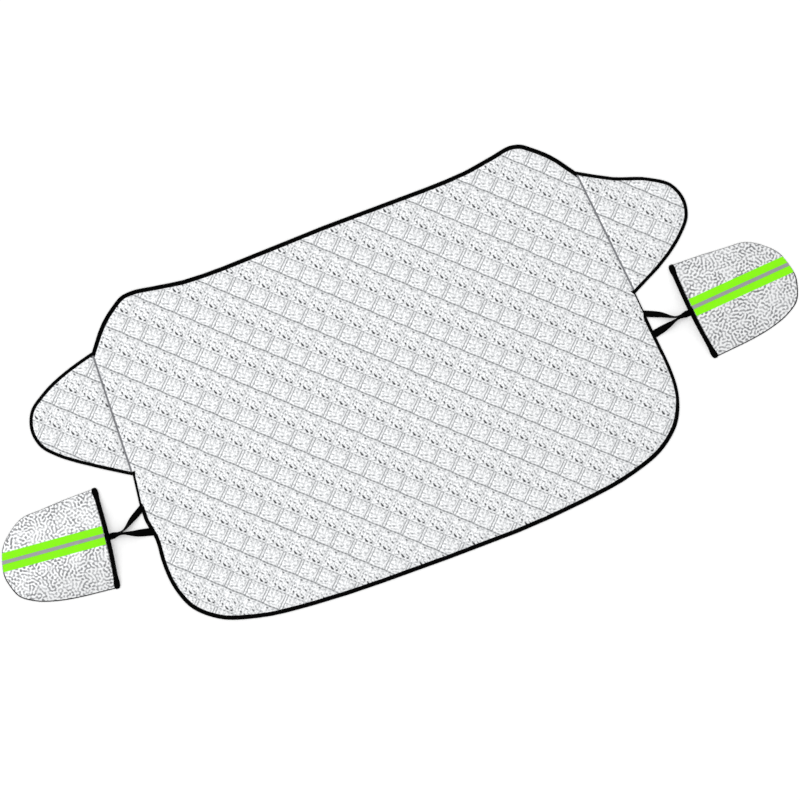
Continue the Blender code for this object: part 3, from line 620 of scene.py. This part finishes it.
def ridges(tree, way, half_pitch, height=1.0, rounded=True):
    """Ridges that follow each other along the ribbon or across it."""
    run = add(tree, "Attribute", output="Fac", attribute_name=way)
    wave = add(tree, "Math", (run, half_pitch), operation="PINGPONG")
    shape = "SMOOTHSTEP" if rounded else "LINEAR"
    return add(
        tree, "MapRange", (wave, 0.0, half_pitch, 0.0, height), interpolation_type=shape
    )


def stitches(tree, row, half_pitch, full):
    """One row of lockstitches at this distance across the tape, with bare tape between them."""
    across = add(tree, "Attribute", output="Fac", attribute_name="across")
    from_row = add(tree, "Math", (across, row), operation="SUBTRACT")
    from_row = add(tree, "Math", (from_row,), operation="ABSOLUTE")
    sewn = add(tree, "MapRange", (from_row, 0.0004, 0.0008, 1.0, 0.0))
    along = add(tree, "Attribute", output="Fac", attribute_name="along")
    stitch = add(tree, "Math", (along, half_pitch), operation="PINGPONG")
    stitch = add(tree, "MapRange", (stitch, 0.0002, full, 0.0, 1.0))
    return add(tree, "Math", (stitch, sewn), operation="MULTIPLY")


def cloth_surface(tree, shader, ground, tones, rough, relief, strength, depth):
    """Dyed cloth: its ground colour, the tones laid over it by their shares, and its relief."""
    colour = linear(ground)
    for share, tone in tones:
        colour = add(tree, "Mix", {0: share, 6: colour, 7: linear(tone)}, output=2, data_type="RGBA")
    tree.links.new(colour, shader.inputs["Base Color"])
    shader.inputs["Roughness"].default_value = rough
    bump = add(tree, "Bump", {"Strength": strength, "Distance": depth, "Height": relief})
    tree.links.new(bump, shader.inputs["Normal"])


# Plain-woven polyester, dyed black. Threads about 0.5 mm apart would not show, so the
# ribs are drawn 1.4 mm apart, and the stitches 3.2 mm long.
tape_weave, tree, shader = new_material("black polyester tape, woven and folded")
threads = ridges(tree, "across", 0.0005, height=0.6, rounded=False)
weave = add(tree, "Math", (ridges(tree, "along", 0.0007), threads), operation="ADD")
stitch = stitches(tree, 0.0080, 0.0016, full=0.0005)
relief = add(tree, "Math", (stitch, 1.8, weave), operation="MULTIPLY_ADD")
# The stitches are a little lighter than the tape: a painted sheen on the black thread.
cloth_surface(
    tree, shader, "#010101", ((weave, "#060606"), (stitch, "#0C0C0D")), 0.82, relief, strength=0.5, depth=0.0003
)
shader.inputs["Specular IOR Level"].default_value = 0.015


def cut_at_seam(piece, side, keep_inside):
    """Cuts a tape's end off along the seam and closes it."""
    top, foot = seam_top(side), seam_foot(side)
    outward = Vector((top.y - foot.y, foot.x - top.x, 0.0)).normalized() * side
    select_only(piece)
    bpy.ops.object.mode_set(mode="EDIT")
    bpy.ops.mesh.select_all(action="SELECT")
    bpy.ops.mesh.bisect(
        plane_co=(*(foot + outward.xy * (-GAP / 2 if keep_inside else GAP / 2)), 0.0), plane_no=outward,
        use_fill=True, clear_outer=keep_inside, clear_inner=not keep_inside,
    )
    bpy.ops.object.mode_set(mode="OBJECT")


roof_line = evenly(extended(roof, REACH), TAPE_STEP)
roof_tape = swept("roof_edge_tape", roof_line, TAPE_SECTION, TAPE_WAVER, tape_share)
for side in (LEFT, RIGHT):
    cut_at_seam(roof_tape, side, keep_inside=True)
hood_ends = {}
for side in (LEFT, RIGHT):
    along_seam = (seam_top(side) - seam_foot(side)).normalized()
    hood_ends[side] = seam_foot(side) + along_seam * TAPE_WIDTH - Vector((side * GAP / 2, 0.0))
hood_line = evenly([hood_ends[LEFT], *hood, hood_ends[RIGHT]], TAPE_STEP)
hood_tape = swept("hood_edge_tape", hood_line, TAPE_SECTION, TAPE_WAVER, tape_share)
smooth_finish(roof_tape, tape_weave, ["roof_edge_binding"])
smooth_finish(hood_tape, tape_weave, ["hood_edge_binding"])
for side in (LEFT, RIGHT):
    word = SIDE_NAMES[side]
    flap_line = evenly(extended(flap_path(side), REACH), FLAP_TAPE_STEP)
    tape = swept(word + "_flap_tape", flap_line, TAPE_SECTION, TAPE_WAVER, flap_tape_share)
    cut_at_seam(tape, side, keep_inside=False)
    smooth_finish(tape, tape_weave, [word + "_flap_binding"])


# --- Seam tape -------------------------------------------------------------------------------
# A narrow grey tape covers each seam between the blanket and a flap. It is woven polyester,
# laid in the groove of the seam and sewn through.

SEAM_SECTION = [
    (0.0025, 0.0033), (-0.0025, 0.0033), (-0.0025, 0.0037), (-0.0021, 0.0041), (-0.0008, 0.0042),
    (0.0000, 0.0040), (0.0008, 0.0042), (0.0021, 0.0041), (0.0025, 0.0037),
]

# Grey woven polyester with one row of stitches, ribs 1.5 mm apart
seam_weave, tree, shader = new_material("grey polyester tape, woven and sewn")
ribs = ridges(tree, "along", 0.00075)
stitch = stitches(tree, 0.0, 0.0018, full=0.0006)
cloth_surface(
    tree, shader, "#717277", ((ribs, "#8F9094"), (stitch, "#5E5F63")), 0.72, ribs, strength=0.5, depth=0.0003
)

for side in (LEFT, RIGHT):
    word = SIDE_NAMES[side]
    top, foot = seam_top(side), seam_foot(side)
    along_seam = (top - foot).normalized()
    start, end = foot + along_seam * (TAPE_WIDTH + 2 * GAP), top - along_seam * (TAPE_WIDTH + 2 * GAP)
    tape = swept(word + "_seam_cover", evenly([start, end], 0.004), SEAM_SECTION)
    smooth_finish(tape, seam_weave, [word + "_seam_tape"])

for side in (LEFT, RIGHT):
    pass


# --- Mirror pouches --------------------------------------------------------------------------
# Each pouch is two pieces of thin film, D-shaped, sewn together round the edge with a dark
# overlock thread, which also stands in for the painted shadow of that edge, and left open at the straight side,
# where the car's mirror goes in.

POUCH_MOUTH = (0.8735, -0.0975)
POUCH_LAY = 0.0035
POUCH_LEAN, POUCH_LAY_TURN = math.radians(6.43), math.radians(1.0)
MOUTH_HALF_WIDTH, MOUTH_BOW = 0.1405, 0.0070
POUCH_OUTLINE = [
    (0.0910, 0.1300), (0.1550, 0.1190), (0.2160, 0.1070), (0.2560, 0.0760), (0.2830, 0.0415),
    (0.2945, -0.0020), (0.2967, -0.0395), (0.2880, -0.0680), (0.2700, -0.1000),
    (0.2305, -0.1226), (0.1715, -0.1366), (0.0905, -0.1415),
]
POUCH_OPEN_HEIGHT = 0.0180
# The film's gathers at the mouth fade out behind the elastic
GATHER_PITCH, GATHER_START, GATHER_REACH = 0.016, 0.007, 0.030
POUCH_CREASE_DEPTH, GATHER_DEPTH = 0.0011, 0.0006
POUCH_COARSE, POUCH_FINE, FINE_SHARE = 34.0, 80.0, 0.5
# The film is held flat over the last seventh of its way to the sewn edge
RIM_SHARE = 7.0
# The edge thread is drawn fuller towards the pouch's lower edge, as painted shadow along that side
SHADOW_SIDE_FULLER, OVERLOCK_CHANGE = 0.55, 0.05
POUCH_FABRIC = 0.0012
ELASTIC_WIDTH = 0.0130
MOUTH_SETBACK = ELASTIC_WIDTH / 2 + GAP
POUCH_RINGS = 44
POUCH_STEPS = 150
MOUTH_STEPS = 40
OVERLOCK_SECTION = [
    (0.0016, 0.0009), (0.0006, 0.0003), (-0.0002, 0.0004), (-0.0007, 0.0010), (-0.0008, 0.0018), (-0.0006, 0.0026),
    (0.0002, 0.0031), (0.0012, 0.0031), (0.0018, 0.0027), (0.0006, 0.0021), (0.0006, 0.0014),
]

# Thin aluminium film, pale and soft, with a labyrinth of embossed creases about 4 mm wide
# and 10 mm apart, whose grey is painted shade
pouch_film, tree, shader = new_material("aluminium film, embossed, unquilted")
place = add(tree, "TexCoord", output="Object")
maze = add(tree, "TexGabor", {"Vector": place, "Scale": 54.0, "Frequency": 1.85, "Anisotropy": 0.0})
maze = add(tree, "MapRange", (maze, 0.43, 0.61, 0.0, 1.0), interpolation_type="SMOOTHSTEP")
depth = add(tree, "TexNoise", {"Vector": place, "Scale": 34.0, "Detail": 1.0})
depth = add(tree, "MapRange", (depth, 0.35, 0.65, 0.34, 0.74))
shade = add(tree, "Math", (maze, depth), operation="MULTIPLY")
tone = add(tree, "TexNoise", {"Vector": place, "Scale": 190.0, "Detail": 2.0})
tone = add(tree, "MapRange", (tone, 0.3, 0.7, -0.04, 0.12))
shade = add(tree, "Math", (shade, tone), operation="ADD", use_clamp=True)
shade_tones = ((0.0, "#F4F5F6"), (0.5, "#A6A7A9"), (1.0, "#56575A"))
film_surface(tree, shader, shade, shade_tones, smoothest=0.34)

# Dark polyester thread along the pouch's edge, loops 2.4 mm apart; its dark band is also painted shadow of the
# edge
edge_thread_and_shadow, tree, shader = new_material("dark edge thread and painted edge shadow")
loops = ridges(tree, "along", 0.0012)
cloth_surface(tree, shader, "#0B0B0C", ((loops, "#202022"),), 0.75, loops, strength=0.7, depth=0.0005)
shader.inputs["Specular IOR Level"].default_value = 0.10


def pouch_outline(side):
    """The D outline in the pouch's own frame, counter-clockwise from mouth corner to mouth corner."""
    corners = (MOUTH_SETBACK, MOUTH_HALF_WIDTH), (MOUTH_SETBACK, -MOUTH_HALF_WIDTH)
    line = smooth_through([corners[0], *POUCH_OUTLINE, corners[1]])
    line = [Vector((point.x, side * point.y)) for point in line]
    return list(reversed(line)) if side == RIGHT else line


def pouch_frame(side):
    """Puts the pouch's own frame, mouth at the origin, in its place beside the blanket."""
    turned = side * POUCH_LEAN - POUCH_LAY_TURN + (math.pi if side == LEFT else 0.0)
    place = Vector((side * POUCH_MOUTH[0], POUCH_MOUTH[1] + side * POUCH_LAY, 0.0))
    return Matrix.Translation(place) @ Matrix.Rotation(turned, 4, "Z")


def bowed(distance, across):
    """A place in the pouch, moved as far as the mouth's bow moves it towards the blanket."""
    aside = min(1.0, abs(across) / MOUTH_HALF_WIDTH)
    behind = min(1.0, max(0.0, distance - MOUTH_SETBACK) / MOUTH_HALF_WIDTH)
    return distance - MOUTH_BOW * (1.0 - aside**2) * (1.0 - behind), across


def crossings(outline, start, way):
    """How many times the way it takes from the start to each place where it meets the outline."""
    for a, b in zip(outline, outline[1:]):
        bottom = way.cross(b - a)
        if abs(bottom) > 1e-12 and -1e-6 <= (a - start).cross(way) / bottom <= 1.0 + 1e-6:
            yield (a - start).cross(b - a) / bottom


def vault(outline, u, v):
    """Share of the way from the mouth's middle to the outline, for a place in the pouch."""
    middle = (outline[0] + outline[-1]) / 2
    ray = Vector((u, v)) - middle
    if ray.length < 1e-6:
        return 0.0
    for reach in crossings(outline, middle, ray):
        if reach > 0.0:
            return min(1.0, 1.0 / reach)
    return 1.0


def pouch_rise(side, share, u, v):
    """Height of the upper film over its rim: the open mouth's vault, its creases and gathers."""
    arch = POUCH_OPEN_HEIGHT * (1.0 - share**2)
    held = min(1.0, (1.0 - share) * RIM_SHARE)
    creases = noise.noise(Vector((u * POUCH_COARSE, v * POUCH_COARSE, side * 2.0)))
    creases += FINE_SHARE * noise.noise(Vector((u * POUCH_FINE, v * POUCH_FINE, 5.0)))
    gathers = math.sin(v * 2.0 * math.pi / GATHER_PITCH) * math.exp(-max(0.0, u - GATHER_START) / GATHER_REACH)
    return arch + held * (POUCH_CREASE_DEPTH * creases + GATHER_DEPTH * gathers)


def edge_thread_and_shadow_width(point, side):
    """How thick the overlocked thread lies: fuller on the pouch's lower edge, as painted shadow along that edge.
    """
    return 1.0 + SHADOW_SIDE_FULLER * math.tanh(-side * point.y / OVERLOCK_CHANGE)


pouch_parts = {}
for side in (LEFT, RIGHT):
    word = SIDE_NAMES[side]
    outline = evenly(pouch_outline(side), 0.001)
    outline = [outline[round(k * (len(outline) - 1) / POUCH_STEPS)] for k in range(POUCH_STEPS + 1)]
    middle = (outline[0] + outline[-1]) / 2
    front_low = POUCH_FABRIC + GAP
    bm = bmesh.new()
    top = bm.verts.new((*bowed(*middle), front_low + pouch_rise(side, 0.0, *middle)))
    inner = None
    for ring_number in range(1, POUCH_RINGS + 1):
        share = ring_number / POUCH_RINGS
        ring = []
        for point in outline:
            u, v = middle.lerp(point, share)
            ring.append(bm.verts.new((*bowed(u, v), front_low + pouch_rise(side, share, u, v))))
        for k in range(len(ring) - 1):
            if inner is None:
                bm.faces.new((top, ring[k], ring[k + 1]))
            else:
                bm.faces.new((inner[k], ring[k], ring[k + 1], inner[k + 1]))
        inner = ring
    thickened(bm, list(bm.faces), POUCH_FABRIC)
    front = piece_of(word + "_pouch_film", bm, pouch_frame(side))
    smooth_finish(front, pouch_film, [word + "_pouch_front"])

    mouth = [outline[-1].lerp(outline[0], k / MOUTH_STEPS) for k in range(1, MOUTH_STEPS)]
    lining = [Vector(bowed(*point)) for point in outline + mouth]
    back = flat_block(word + "_pouch_lining", lining, 0.0, POUCH_FABRIC)
    back.data.transform(pouch_frame(side))
    smooth_finish(back, pouch_film, [word + "_pouch_back"])

    rim = [Vector(bowed(*point)) for point in evenly(outline, 0.003)]
    edge = swept(
        word + "_pouch_edge_thread_and_shadow", rim, OVERLOCK_SECTION,
        width_at=lambda point: edge_thread_and_shadow_width(point, side),
    )
    edge.data.transform(pouch_frame(side))
    smooth_finish(edge, edge_thread_and_shadow, [])
    pouch_parts[side] = {"front": front, "back": back, "edge": edge, "outline": pouch_outline(side)}


# --- Mouth elastic ---------------------------------------------------------------------------
# A black knitted elastic band is sewn round the mouth of each pouch. It lies flat below and
# arches with the mouth above, and its ends stand a little proud of the pouch's corners.

ELASTIC_WALL = 0.0018
ELASTIC_OVERHANG = 0.0035
LOWER_STEPS, UPPER_STEPS = 60, 90

# Black knitted elastic, ribs 1.6 mm apart along the band
elastic_knit, tree, shader = new_material("black elastic, knitted over rubber")
knots = ridges(tree, "along", 0.0006, height=0.5, rounded=False)
knit = add(tree, "Math", (ridges(tree, "across", 0.0008), knots), operation="ADD")
cloth_surface(tree, shader, "#010101", ((knit, "#060606"),), 0.8, knit, strength=0.6, depth=0.0004)
shader.inputs["Specular IOR Level"].default_value = 0.015

ELASTIC_SECTION = [
    (-0.0065, 0.0), (-0.0062, 0.0006), (-0.0048, 0.0009), (-0.0024, 0.0007), (0.0, 0.0008), (0.0024, 0.0007),
    (0.0048, 0.0009), (0.0062, 0.0006), (0.0065, 0.0), (0.0062, -0.0006), (0.0030, -0.0007), (-0.0030, -0.0007),
    (-0.0062, -0.0006),
]
# The band's width along the mouth: stretched narrow in the middle, bunched at its ends
ELASTIC_SWELL_AT = (0.0, 0.080, 0.110, 0.127, 0.136, 0.1415, 0.1432)
ELASTIC_SWELL = (0.74, 0.76, 0.90, 1.32, 1.30, 1.00, 0.62)
for side in (LEFT, RIGHT):
    word = SIDE_NAMES[side]
    reach = MOUTH_HALF_WIDTH + ELASTIC_OVERHANG - ELASTIC_WALL / 2
    floor = POUCH_FABRIC + GAP + ELASTIC_WALL / 2
    turns = [math.pi * k / LOWER_STEPS for k in range(LOWER_STEPS + 1)]
    loop = [Vector((-reach * math.cos(turned), ELASTIC_WALL / 2)) for turned in turns]
    for k in range(UPPER_STEPS + 1):
        turned = math.pi * k / UPPER_STEPS
        loop.append(Vector((reach * math.cos(turned), floor + POUCH_OPEN_HEIGHT * math.sin(turned) ** 2)))
    bm, along_layer, across_layer = woven_mesh()
    rings = []
    run = 0.0
    for k, point in enumerate(loop):
        ahead = (loop[(k + 1) % len(loop)] - loop[k - 1]).normalized()
        outward = Vector((ahead.y, -ahead.x))
        run += (point - loop[k - 1]).length if k else 0.0
        ring = []
        swell = np.interp(abs(point.x), ELASTIC_SWELL_AT, ELASTIC_SWELL)
        for across_band, offset in ELASTIC_SECTION:
            place = bowed(across_band * swell, point.x + outward.x * offset)
            vert = bm.verts.new((*place, point.y + outward.y * offset))
            vert[along_layer] = run
            vert[across_layer] = across_band + ELASTIC_WIDTH / 2
            ring.append(vert)
        rings.append(ring)
    for k in range(len(rings)):
        join_rows(bm, rings[k - 1], rings[k], closed=True)
    band = piece_of(word + "_mouth_band", bm, pouch_frame(side))
    smooth_finish(band, elastic_knit, [word + "_mouth_elastic"])


# --- Lime band and reflective strip ----------------------------------------------------------
# A fluorescent lime ribbon runs along each pouch, and a grey strip of glass-bead fabric is
# sewn on its middle, so that the parked car's mirrors show in headlights.

RIBBON_WIDTH = 0.0520
RIBBON_THICKNESS = 0.0005
RIBBON_OFFSET = 0.0103
RIBBON_TURN = math.radians(-1.95)
RIBBON_STEPS = 110
STRIP_WIDTH = 0.0100
STRIP_THICKNESS = 0.0004

# Fluorescent warp-knit polyester, ribs 1.5 mm apart along the ribbon
lime_knit, tree, shader = new_material("fluorescent polyester ribbon, warp-knit")
loops = ridges(tree, "along", 0.0006, height=0.5, rounded=False)
knit = add(tree, "Math", (ridges(tree, "across", 0.00075), loops), operation="ADD")
cloth_surface(tree, shader, "#80EE00", ((knit, "#8FFF00"),), 0.6, knit, strength=0.35, depth=0.0003)
shader.inputs["Specular IOR Level"].default_value = 0.2

# Glass beads in grey resin on cloth: a dull grey with a fine sparkle, beads drawn 0.6 mm apart
bead_cloth, tree, shader = new_material("grey glass-bead reflective fabric")
place = add(tree, "TexCoord", output="Object")
beads = add(tree, "TexVoronoi", {"Vector": place, "Scale": 1600.0})
cloth_surface(tree, shader, "#A3A3A8", ((beads, "#87878C"),), 0.45, beads, strength=0.25, depth=0.0002)
shader.inputs["Metallic"].default_value = 0.1


def band_on_pouch(name, side, width, lift, thickness, across_steps):
    """A ribbon that lies on the vaulted film from the elastic to the pouch's edge."""
    outline = pouch_parts[side]["outline"]
    along_way = Vector((math.cos(RIBBON_TURN), side * math.sin(RIBBON_TURN)))
    across_way = Vector((-along_way.y, along_way.x))
    start = Vector((MOUTH_SETBACK, side * RIBBON_OFFSET))
    bm, along_layer, across_layer = woven_mesh()
    rows = []
    for a in range(across_steps + 1):
        offset = width * (a / across_steps - 0.5)
        lane = start + across_way * offset
        lane = lane - along_way * ((lane.x - start.x) / along_way.x)
        length = max(crossings(outline, lane, along_way))
        row = []
        for k in range(RIBBON_STEPS + 1):
            spot = lane + along_way * (length * k / RIBBON_STEPS)
            share = vault(outline, *spot)
            vert = bm.verts.new((*bowed(*spot), lift + pouch_rise(side, share, *spot)))
            vert[along_layer] = length * k / RIBBON_STEPS
            vert[across_layer] = offset + width / 2
            row.append(vert)
        if rows:
            join_rows(bm, rows[-1], row)
        rows.append(row)
    thickened(bm, list(bm.faces), thickness)
    return piece_of(name, bm, pouch_frame(side))


for side in (LEFT, RIGHT):
    word = SIDE_NAMES[side]
    low = 2 * POUCH_FABRIC + 2 * GAP
    ribbon = band_on_pouch(word + "_lime_ribbon", side, RIBBON_WIDTH, low, RIBBON_THICKNESS, 20)
    smooth_finish(ribbon, lime_knit, [word + "_lime_band"])
    strip_low = low + RIBBON_THICKNESS + GAP
    strip = band_on_pouch(word + "_bead_strip", side, STRIP_WIDTH, strip_low, STRIP_THICKNESS, 6)
    smooth_finish(strip, bead_cloth, [word + "_reflective_strip"])


# --- Pouch straps ----------------------------------------------------------------------------
# One black woven ribbon ties each pouch to the blanket: its two legs are sewn under the
# elastic, lie on edge where they part, and are sewn in under the binding tape.

STRAP_THICKNESS = 0.0012
STRAP_STEP, STRAP_LANES = 0.0022, 6
STRAP_CURL = 0.0006
STACKED_SHARE = 0.8
STEM_WIDTH, STEM_LENGTH = 0.0160, 0.0200
FORK, FORK_SPREAD, FORK_TWIST = (0.8240, -0.0985), 0.0030, math.radians(74.0)
UPPER_LEG = ((0.7850, -0.0740), -0.0535, 0.0180, 1, FORK_SPREAD)
LOWER_LEG = ((0.7900, -0.1100), -0.1190, 0.0220, 0, -FORK_SPREAD)
LOWER_LEG_LAY = {LEFT: -0.0080, RIGHT: 0.0}


def edge_across(side, y):
    """How far out the blanket's side lies at this height."""
    edge = [point for point in hood if point.x * side > 0.0]
    for a, b in zip(edge, edge[1:]):
        if min(a.y, b.y) <= y <= max(a.y, b.y) and a.y != b.y:
            return abs(a.x + (b.x - a.x) * (y - a.y) / (b.y - a.y))
    return abs(SEAM_FOOT[0])


def strap_leg(side, middle, end_y, width, layer, spread):
    """One leg, from the pouch to the blanket: flat where it is sewn, on its edge at the fork."""
    bm, along_layer, across_layer = woven_mesh()
    lay = side * POUCH_LAY
    start = (POUCH_MOUTH[0] + layer * STRAP_THICKNESS, POUCH_MOUTH[1] + spread / 4)
    stem_end = (start[0] - STEM_LENGTH, start[1])
    if layer == 0:
        end_y += LOWER_LEG_LAY[side]
        middle = (middle[0], middle[1] + LOWER_LEG_LAY[side] / 2)
    end_x = edge_across(side, end_y + lay) - TAPE_WIDTH / 2
    route = smooth_through([start, stem_end], fewest=2)[:-1]
    route += smooth_through([stem_end, (FORK[0], FORK[1] + spread), middle, (end_x, end_y)], fewest=12)
    route = evenly(route, STRAP_STEP)
    lengths = [0.0]
    for a, b in zip(route, route[1:]):
        lengths.append(lengths[-1] + (b - a).length)
    fork_index = min(range(len(route)), key=lambda k: abs(route[k].x - FORK[0]))
    twisted = lengths[-1] - STEM_LENGTH
    bend = math.log(0.5) / math.log((lengths[fork_index] - STEM_LENGTH) / twisted)
    previous = None
    for k, (point, length) in enumerate(zip(route, lengths)):
        share = length / lengths[-1]
        past_stem = max(0.0, length - STEM_LENGTH) / twisted
        turned = FORK_TWIST * math.sin(math.pi * past_stem**bend) ** 2
        half = (STEM_WIDTH + (width - STEM_WIDTH) * share) / 2
        ahead = (route[min(k + 1, len(route) - 1)] - route[max(k - 1, 0)]).normalized()
        across = Vector((ahead.y, -ahead.x)) * half * math.cos(turned)
        rise = half * math.sin(turned)
        sewn = (TAPE_HEIGHT / 2 - GAP - STRAP_THICKNESS / 2) * share**2
        stacked = layer * STACKED_SHARE * STRAP_THICKNESS * (1.0 - share)
        height = GAP + STRAP_THICKNESS / 2 + rise + sewn + stacked
        verts = []
        for step in range(STRAP_LANES + 1):
            end = 1.0 - 2.0 * step / STRAP_LANES
            place = point + end * across
            curl = STRAP_CURL * math.cos(math.pi * end / 2) * math.cos(turned)
            vert = bm.verts.new((side * place.x, place.y + lay, height - end * rise + curl))
            vert[along_layer] = length
            vert[across_layer] = half * (1.0 - end)
            verts.append(vert)
        if previous:
            join_rows(bm, previous, verts)
        previous = verts
    return bm


for side in (LEFT, RIGHT):
    word = SIDE_NAMES[side]
    for leg_name, leg in (("upper", UPPER_LEG), ("lower", LOWER_LEG)):
        strap = piece_of(f"{word}_{leg_name}_strap", strap_leg(side, *leg))
        thicken = strap.modifiers.new("ribbon", "SOLIDIFY")
        thicken.thickness = STRAP_THICKNESS
        thicken.offset = 0.0
        select_only(strap)
        bpy.ops.object.modifier_apply(modifier=thicken.name)
        smooth_finish(strap, tape_weave, [word + "_pouch_strap"])

for side in (LEFT, RIGHT):
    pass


# --- Floor, light and camera -----------------------------------------------------------------
# A white studio floor, soft light from all round with a broad lamp from the upper left, and
# a long lens that looks straight down, turned so that the cover lies as in the photograph.

PHOTO_WIDTH = 2.219
PHOTO_CENTRE = (0.0258, -0.0336)
PHOTO_TURN = math.radians(-20.9)
CAMERA_HEIGHT, LENS_WIDTH = 6.0, 36.0
FLOOR_SIZE, FLOOR_DROP, FLOOR_GLOW = 40.0, 0.0004, 0.12
ROOM_LIGHT, LAMP_POWER, LAMP_SPREAD = 0.80, 0.75, math.radians(50.0)
LAMP_AIM = Vector((0.60, -0.30, -1.30))


def seen_directly(tree):
    """1 for what is seen itself, in a gloss or through a film, and 0 for the light it gives."""
    path = tree.nodes.new("ShaderNodeLightPath").outputs
    seen = add(tree, "Math", (path["Is Camera Ray"], path["Is Glossy Ray"]), operation="ADD")
    return add(tree, "Math", (seen, path["Is Transmission Ray"]), operation="ADD", use_clamp=True)


floor_paint, tree, shader = new_material("white matt studio paint")
place = add(tree, "TexCoord", output="Object")
grain = add(tree, "TexNoise", {"Vector": place, "Scale": 40.0, "Detail": 2.0})
paint = add(tree, "Mix", {0: grain, 6: linear("#F7F7F7"), 7: linear("#FAFAFA")}, output=2, data_type="RGBA")
tree.links.new(paint, shader.inputs["Base Color"])
shader.inputs["Roughness"].default_value = 0.9
shader.inputs["Specular IOR Level"].default_value = 0.0
glow = add(tree, "Math", (seen_directly(tree), FLOOR_GLOW), operation="MULTIPLY")
tree.links.new(glow, shader.inputs["Emission Strength"])
shader.inputs["Emission Color"].default_value = (1.0, 1.0, 1.0, 1.0)
bpy.ops.object.select_all(action="DESELECT")
bpy.ops.mesh.primitive_plane_add(size=FLOOR_SIZE, location=(0.0, 0.0, -FLOOR_DROP))
studio_floor = bpy.context.object
studio_floor.name = "studio_floor"
studio_floor.data.materials.append(floor_paint)

world = bpy.data.worlds.new("studio")
world.use_nodes = True
bpy.context.scene.world = world
tree = world.node_tree
strength = add(tree, "MapRange", (seen_directly(tree), 0.0, 1.0, ROOM_LIGHT, 1.0))
tree.nodes["Background"].inputs["Color"].default_value = (1.0, 1.0, 1.0, 1.0)
tree.links.new(strength, tree.nodes["Background"].inputs["Strength"])

lamp = bpy.data.lights.new("broad_lamp", "SUN")
lamp.energy = LAMP_POWER
lamp.angle = LAMP_SPREAD
lamp_object = bpy.data.objects.new("broad_lamp", lamp)
lamp_object.rotation_euler = LAMP_AIM.to_track_quat("-Z", "Y").to_euler()
bpy.context.collection.objects.link(lamp_object)

camera_data = bpy.data.cameras.new("camera_above")
camera_data.sensor_width = LENS_WIDTH
camera_data.lens = LENS_WIDTH * CAMERA_HEIGHT / PHOTO_WIDTH
camera_data.clip_end = 50.0
camera = bpy.data.objects.new("camera_above", camera_data)
camera.location = (*PHOTO_CENTRE, CAMERA_HEIGHT)
camera.rotation_euler = (0.0, 0.0, PHOTO_TURN)
bpy.context.collection.objects.link(camera)
bpy.context.scene.camera = camera
bpy.context.scene.view_settings.view_transform = "Standard"
